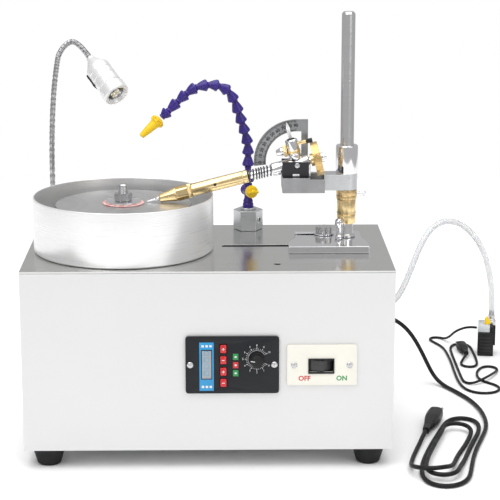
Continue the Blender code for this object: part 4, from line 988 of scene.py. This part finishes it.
def make_carrier():
    centre = on_quill(0)
    sleeve = turned(CHROME, [(4.5, -14), (6.8, -14), (7.4, -13.2), (7.4, -9), (6.9, -8.5), (6.9, 10),
        (7.4, 10.5), (7.4, 27.2), (6.8, 28), (4.5, 28)], centre, TIP_WARD)
    post = turned(CHROME, [(0, 5), (7, 5), (7, 11), (6.6, 11.5), (7, 12), (7, 27), (6, 28.2), (0, 28.2)],
        centre, POINTER_WARD)
    front = turned(STEEL, [(0, 4.9), (3, 4.9), (3, 12.6), (2.4, 13.2), (0, 13.2)], centre, TO_FRONT, 32)
    rear = turned(STEEL, [(0, 4.9), (3, 4.9), (3, 11.8), (2.4, 12.3), (0, 12.3)], centre, (0, 1, 0), 32)
    pointer = tilt_block(PALE_ALLOY, (-2.0, 23, -7.4), (2.0, 41, -6.2), 0.2)
    axes = Matrix((-TIP_WARD, POINTER_WARD, Vector((0, 1, 0)))).transposed().to_4x4()
    tip = prism(PALE_ALLOY, [(-2.0, 0), (2.0, 0), (0.25, 5.5), (-0.25, 5.5)], 1.2,
        Matrix.Translation(on_quill(0, 41, -6.2)) @ axes)
    pawl = tilt_block(BRASS, (-16, 20.2, -2.4), (-5, 23.8, 2.4), 0.4)
    pawl_end = tilt_block(BLACK_OXIDE, (-23, 19.7, -2.5), (-15.6, 24, 2.5), 0.4)
    ring = turned(BRASS, [(7.02, 12.8), (7.5, 13.2), (7.5, 15.6), (7.02, 16)], centre, POINTER_WARD, 48,
        0.1)
    screw = turned(BLACK_OXIDE, [(0, 28.0), (4.2, 28.0), (4.2, 29.0), (2.2, 29.2), (2.0, 28.7), (0, 28.7)],
        centre, POINTER_WARD, 32, 0.1)
    joined_node("quill_carrier", [sleeve, post, pointer, tip, pawl, pawl_end, ring, screw, front, rear])
    knurl = prism(BRASS, toothed(36, 6.4, 6.7, 0.45), 3.6, facing(on_quill(7.3, 17.2), TIP_WARD), 0.15)
    nose = turned(CHROME, [(0, 3.4), (5.2, 3.4), (5.2, 4.4), (4.8, 4.6), (4.8, 7), (4.3, 7.6), (3.0, 11.6),
        (2.4, 12), (0, 12)], on_quill(7.3, 17.2), TIP_WARD, 40)
    joined_node("trim_screw", [knurl, nose])


def make_quill():
    centre = on_quill(0)
    turned_node("quill_shaft", CHROME, [(0, -34), (2.2, -34), (2.2, -30.5), (5.2, -30.5), (5.2, -27.4),
        (4.1, -27.4), (4.1, 62), (0, 62)], centre, TIP_WARD, 40)
    parts = [prism(BRASS, toothed(96, 18.25, 19.0, 0.4), 7.8, facing(on_quill(-27.1), TIP_WARD)),
        turned(BRASS, [(4.4, -19.4), (7, -19.4), (7, -16), (4.4, -16)], centre, TIP_WARD, 48),
        turned(DARK_BRASS, [(8, -27.35), (15.4, -27.35), (15.4, -27.0), (8, -27.0)], centre, TIP_WARD, 64,
        0.05)]
    for i in range(48):
        place = facing(on_quill(-27.1), -TIP_WARD, 2 * math.pi * i / 48)
        parts.append(block(MARKING_AND_SHADE, (16.0, -0.16, -0.05), (17.6, 0.16, 0.08), 0.02, place))
    for i in range(12):
        place = facing(on_quill(-27.36), -TIP_WARD, 2 * math.pi * i / 12)
        place = place @ Matrix.Translation((12.6 * MM, 0, 0)) @ Matrix.Rotation(-math.pi / 2, 4, "Z")
        parts.append(words(str((i * 8) or 96), 3.2, MARKING_AND_SHADE, place, 0.05))
    joined_node("index_wheel", parts)

    body = turned(BRASS, [(0, 63.5), (4.4, 63.5), (4.4, 55.8), (6.6, 55.8), (7.2, 56.5), (7.2, 60.5),
        (6.7, 60.9), (6.7, 61.6), (7.2, 62.0), (7.2, 119.6), (6.6, 120.2), (0, 120.2)], centre, TIP_WARD, 72,
        0.2)
    band = turned(BLACK_OXIDE, [(4.5, 55.2), (6.4, 55.2), (6.4, 55.9), (4.5, 55.9)], centre, TIP_WARD, 48,
        0.1)
    # The hole is a near-black disc on the body's surface: painted shade.
    hole = turned(MARKING_AND_SHADE, [(0, 7.05), (1.8, 7.05), (1.8, 7.22), (0, 7.22)], on_quill(93.4, 1.0), TO_FRONT,
        28, 0.02)
    joined_node("quill_body", [body, band, hole])

    collar = prism(BRASS, toothed(40, 7.45, 7.8, 0.45), 4.1, facing(on_quill(120.5), TIP_WARD), 0.15)
    hexed = hexagon(BRASS, 8.3, 13.0, on_quill(124.6), TIP_WARD, math.radians(12))
    cone = turned(BRASS, [(0, 137.4), (7.2, 137.4), (7.8, 138.4), (7.6, 140), (5.4, 151), (4.5, 156.4),
        (4.0, 157.4), (0, 157.4)], centre, TIP_WARD, 56)
    joined_node("quill_chuck", [collar, hexed, cone])
    turned_node("dop_stick", CHROME, [(0, 157.7), (2.4, 157.7), (2.3, 160), (1.5, 162), (1.1, 165),
        (0.7, 171.8), (0, 172.2)], centre, TIP_WARD, 28, 0.1)

    start, end, radius, coils = 28.9, 55.0, 5.75, 7.5
    count = int(coils * 28)
    knots = []
    for i in range(count + 1):
        turn = 2 * math.pi * i / 28
        settled = i / count + 0.035 * math.sin(2 * math.pi * i / count)
        knots.append(on_quill(start + (end - start) * settled, radius * math.cos(turn),
            radius * math.sin(turn)))
    dress(wire("spring_coil", SPRING, knots, 1.5, 3), "quill_spring")


# ---------------------------------------------------------------- studio

def make_studio():
    """A plain white floor, an even grey surround, and soft lights above and in front."""
    bm = bmesh.new()
    bmesh.ops.create_grid(bm, x_segments=1, y_segments=1, size=1.5)
    make("floor", bm, surface("studio_floor", (0.93, 0.93, 0.93), 0.0, 0.9, tint=(0.5, 0.995)))

    world = bpy.data.worlds.new("studio")
    bpy.context.scene.world = world
    world.use_nodes = True
    nodes, links = world.node_tree.nodes, world.node_tree.links
    nodes.clear()
    surround = nodes.new("ShaderNodeBackground")
    surround.inputs["Strength"].default_value = 0.5
    backdrop = nodes.new("ShaderNodeBackground")
    for background in (surround, backdrop):
        background.inputs["Color"].default_value = (1, 1, 1, 1)
    path = nodes.new("ShaderNodeLightPath")
    mix = nodes.new("ShaderNodeMixShader")
    links.new(path.outputs["Is Camera Ray"], mix.inputs["Fac"])
    links.new(surround.outputs[0], mix.inputs[1])
    links.new(backdrop.outputs[0], mix.inputs[2])
    out = nodes.new("ShaderNodeOutputWorld")
    links.new(mix.outputs[0], out.inputs["Surface"])

    sun = bpy.data.objects.new("overhead", bpy.data.lights.new("overhead", "SUN"))
    sun.data.energy = 2.1
    sun.data.angle = math.radians(70)
    bpy.context.scene.collection.objects.link(sun)
    for name, place, size, power in (("key", (-0.9, -1.4, 1.9), 1.4, 15),
            ("fill", (1.3, -1.5, 1.2), 1.2, 7)):
        data = bpy.data.lights.new(name, "AREA")
        data.size = size
        data.energy = power
        lamp = bpy.data.objects.new(name, data)
        bpy.context.scene.collection.objects.link(lamp)
        lamp.location = place
        lamp.rotation_euler = (Vector((0, 0, 0.2)) - Vector(place)).to_track_quat("-Z", "Y").to_euler()


bpy.context.scene.view_settings.view_transform = "Standard"
make_camera()
make_cords()
make_studio()
make_case()
make_panel()
make_switch()
make_grinding()
make_lamp()
make_water()
make_mast()
make_arm()
make_carrier()
make_quill()
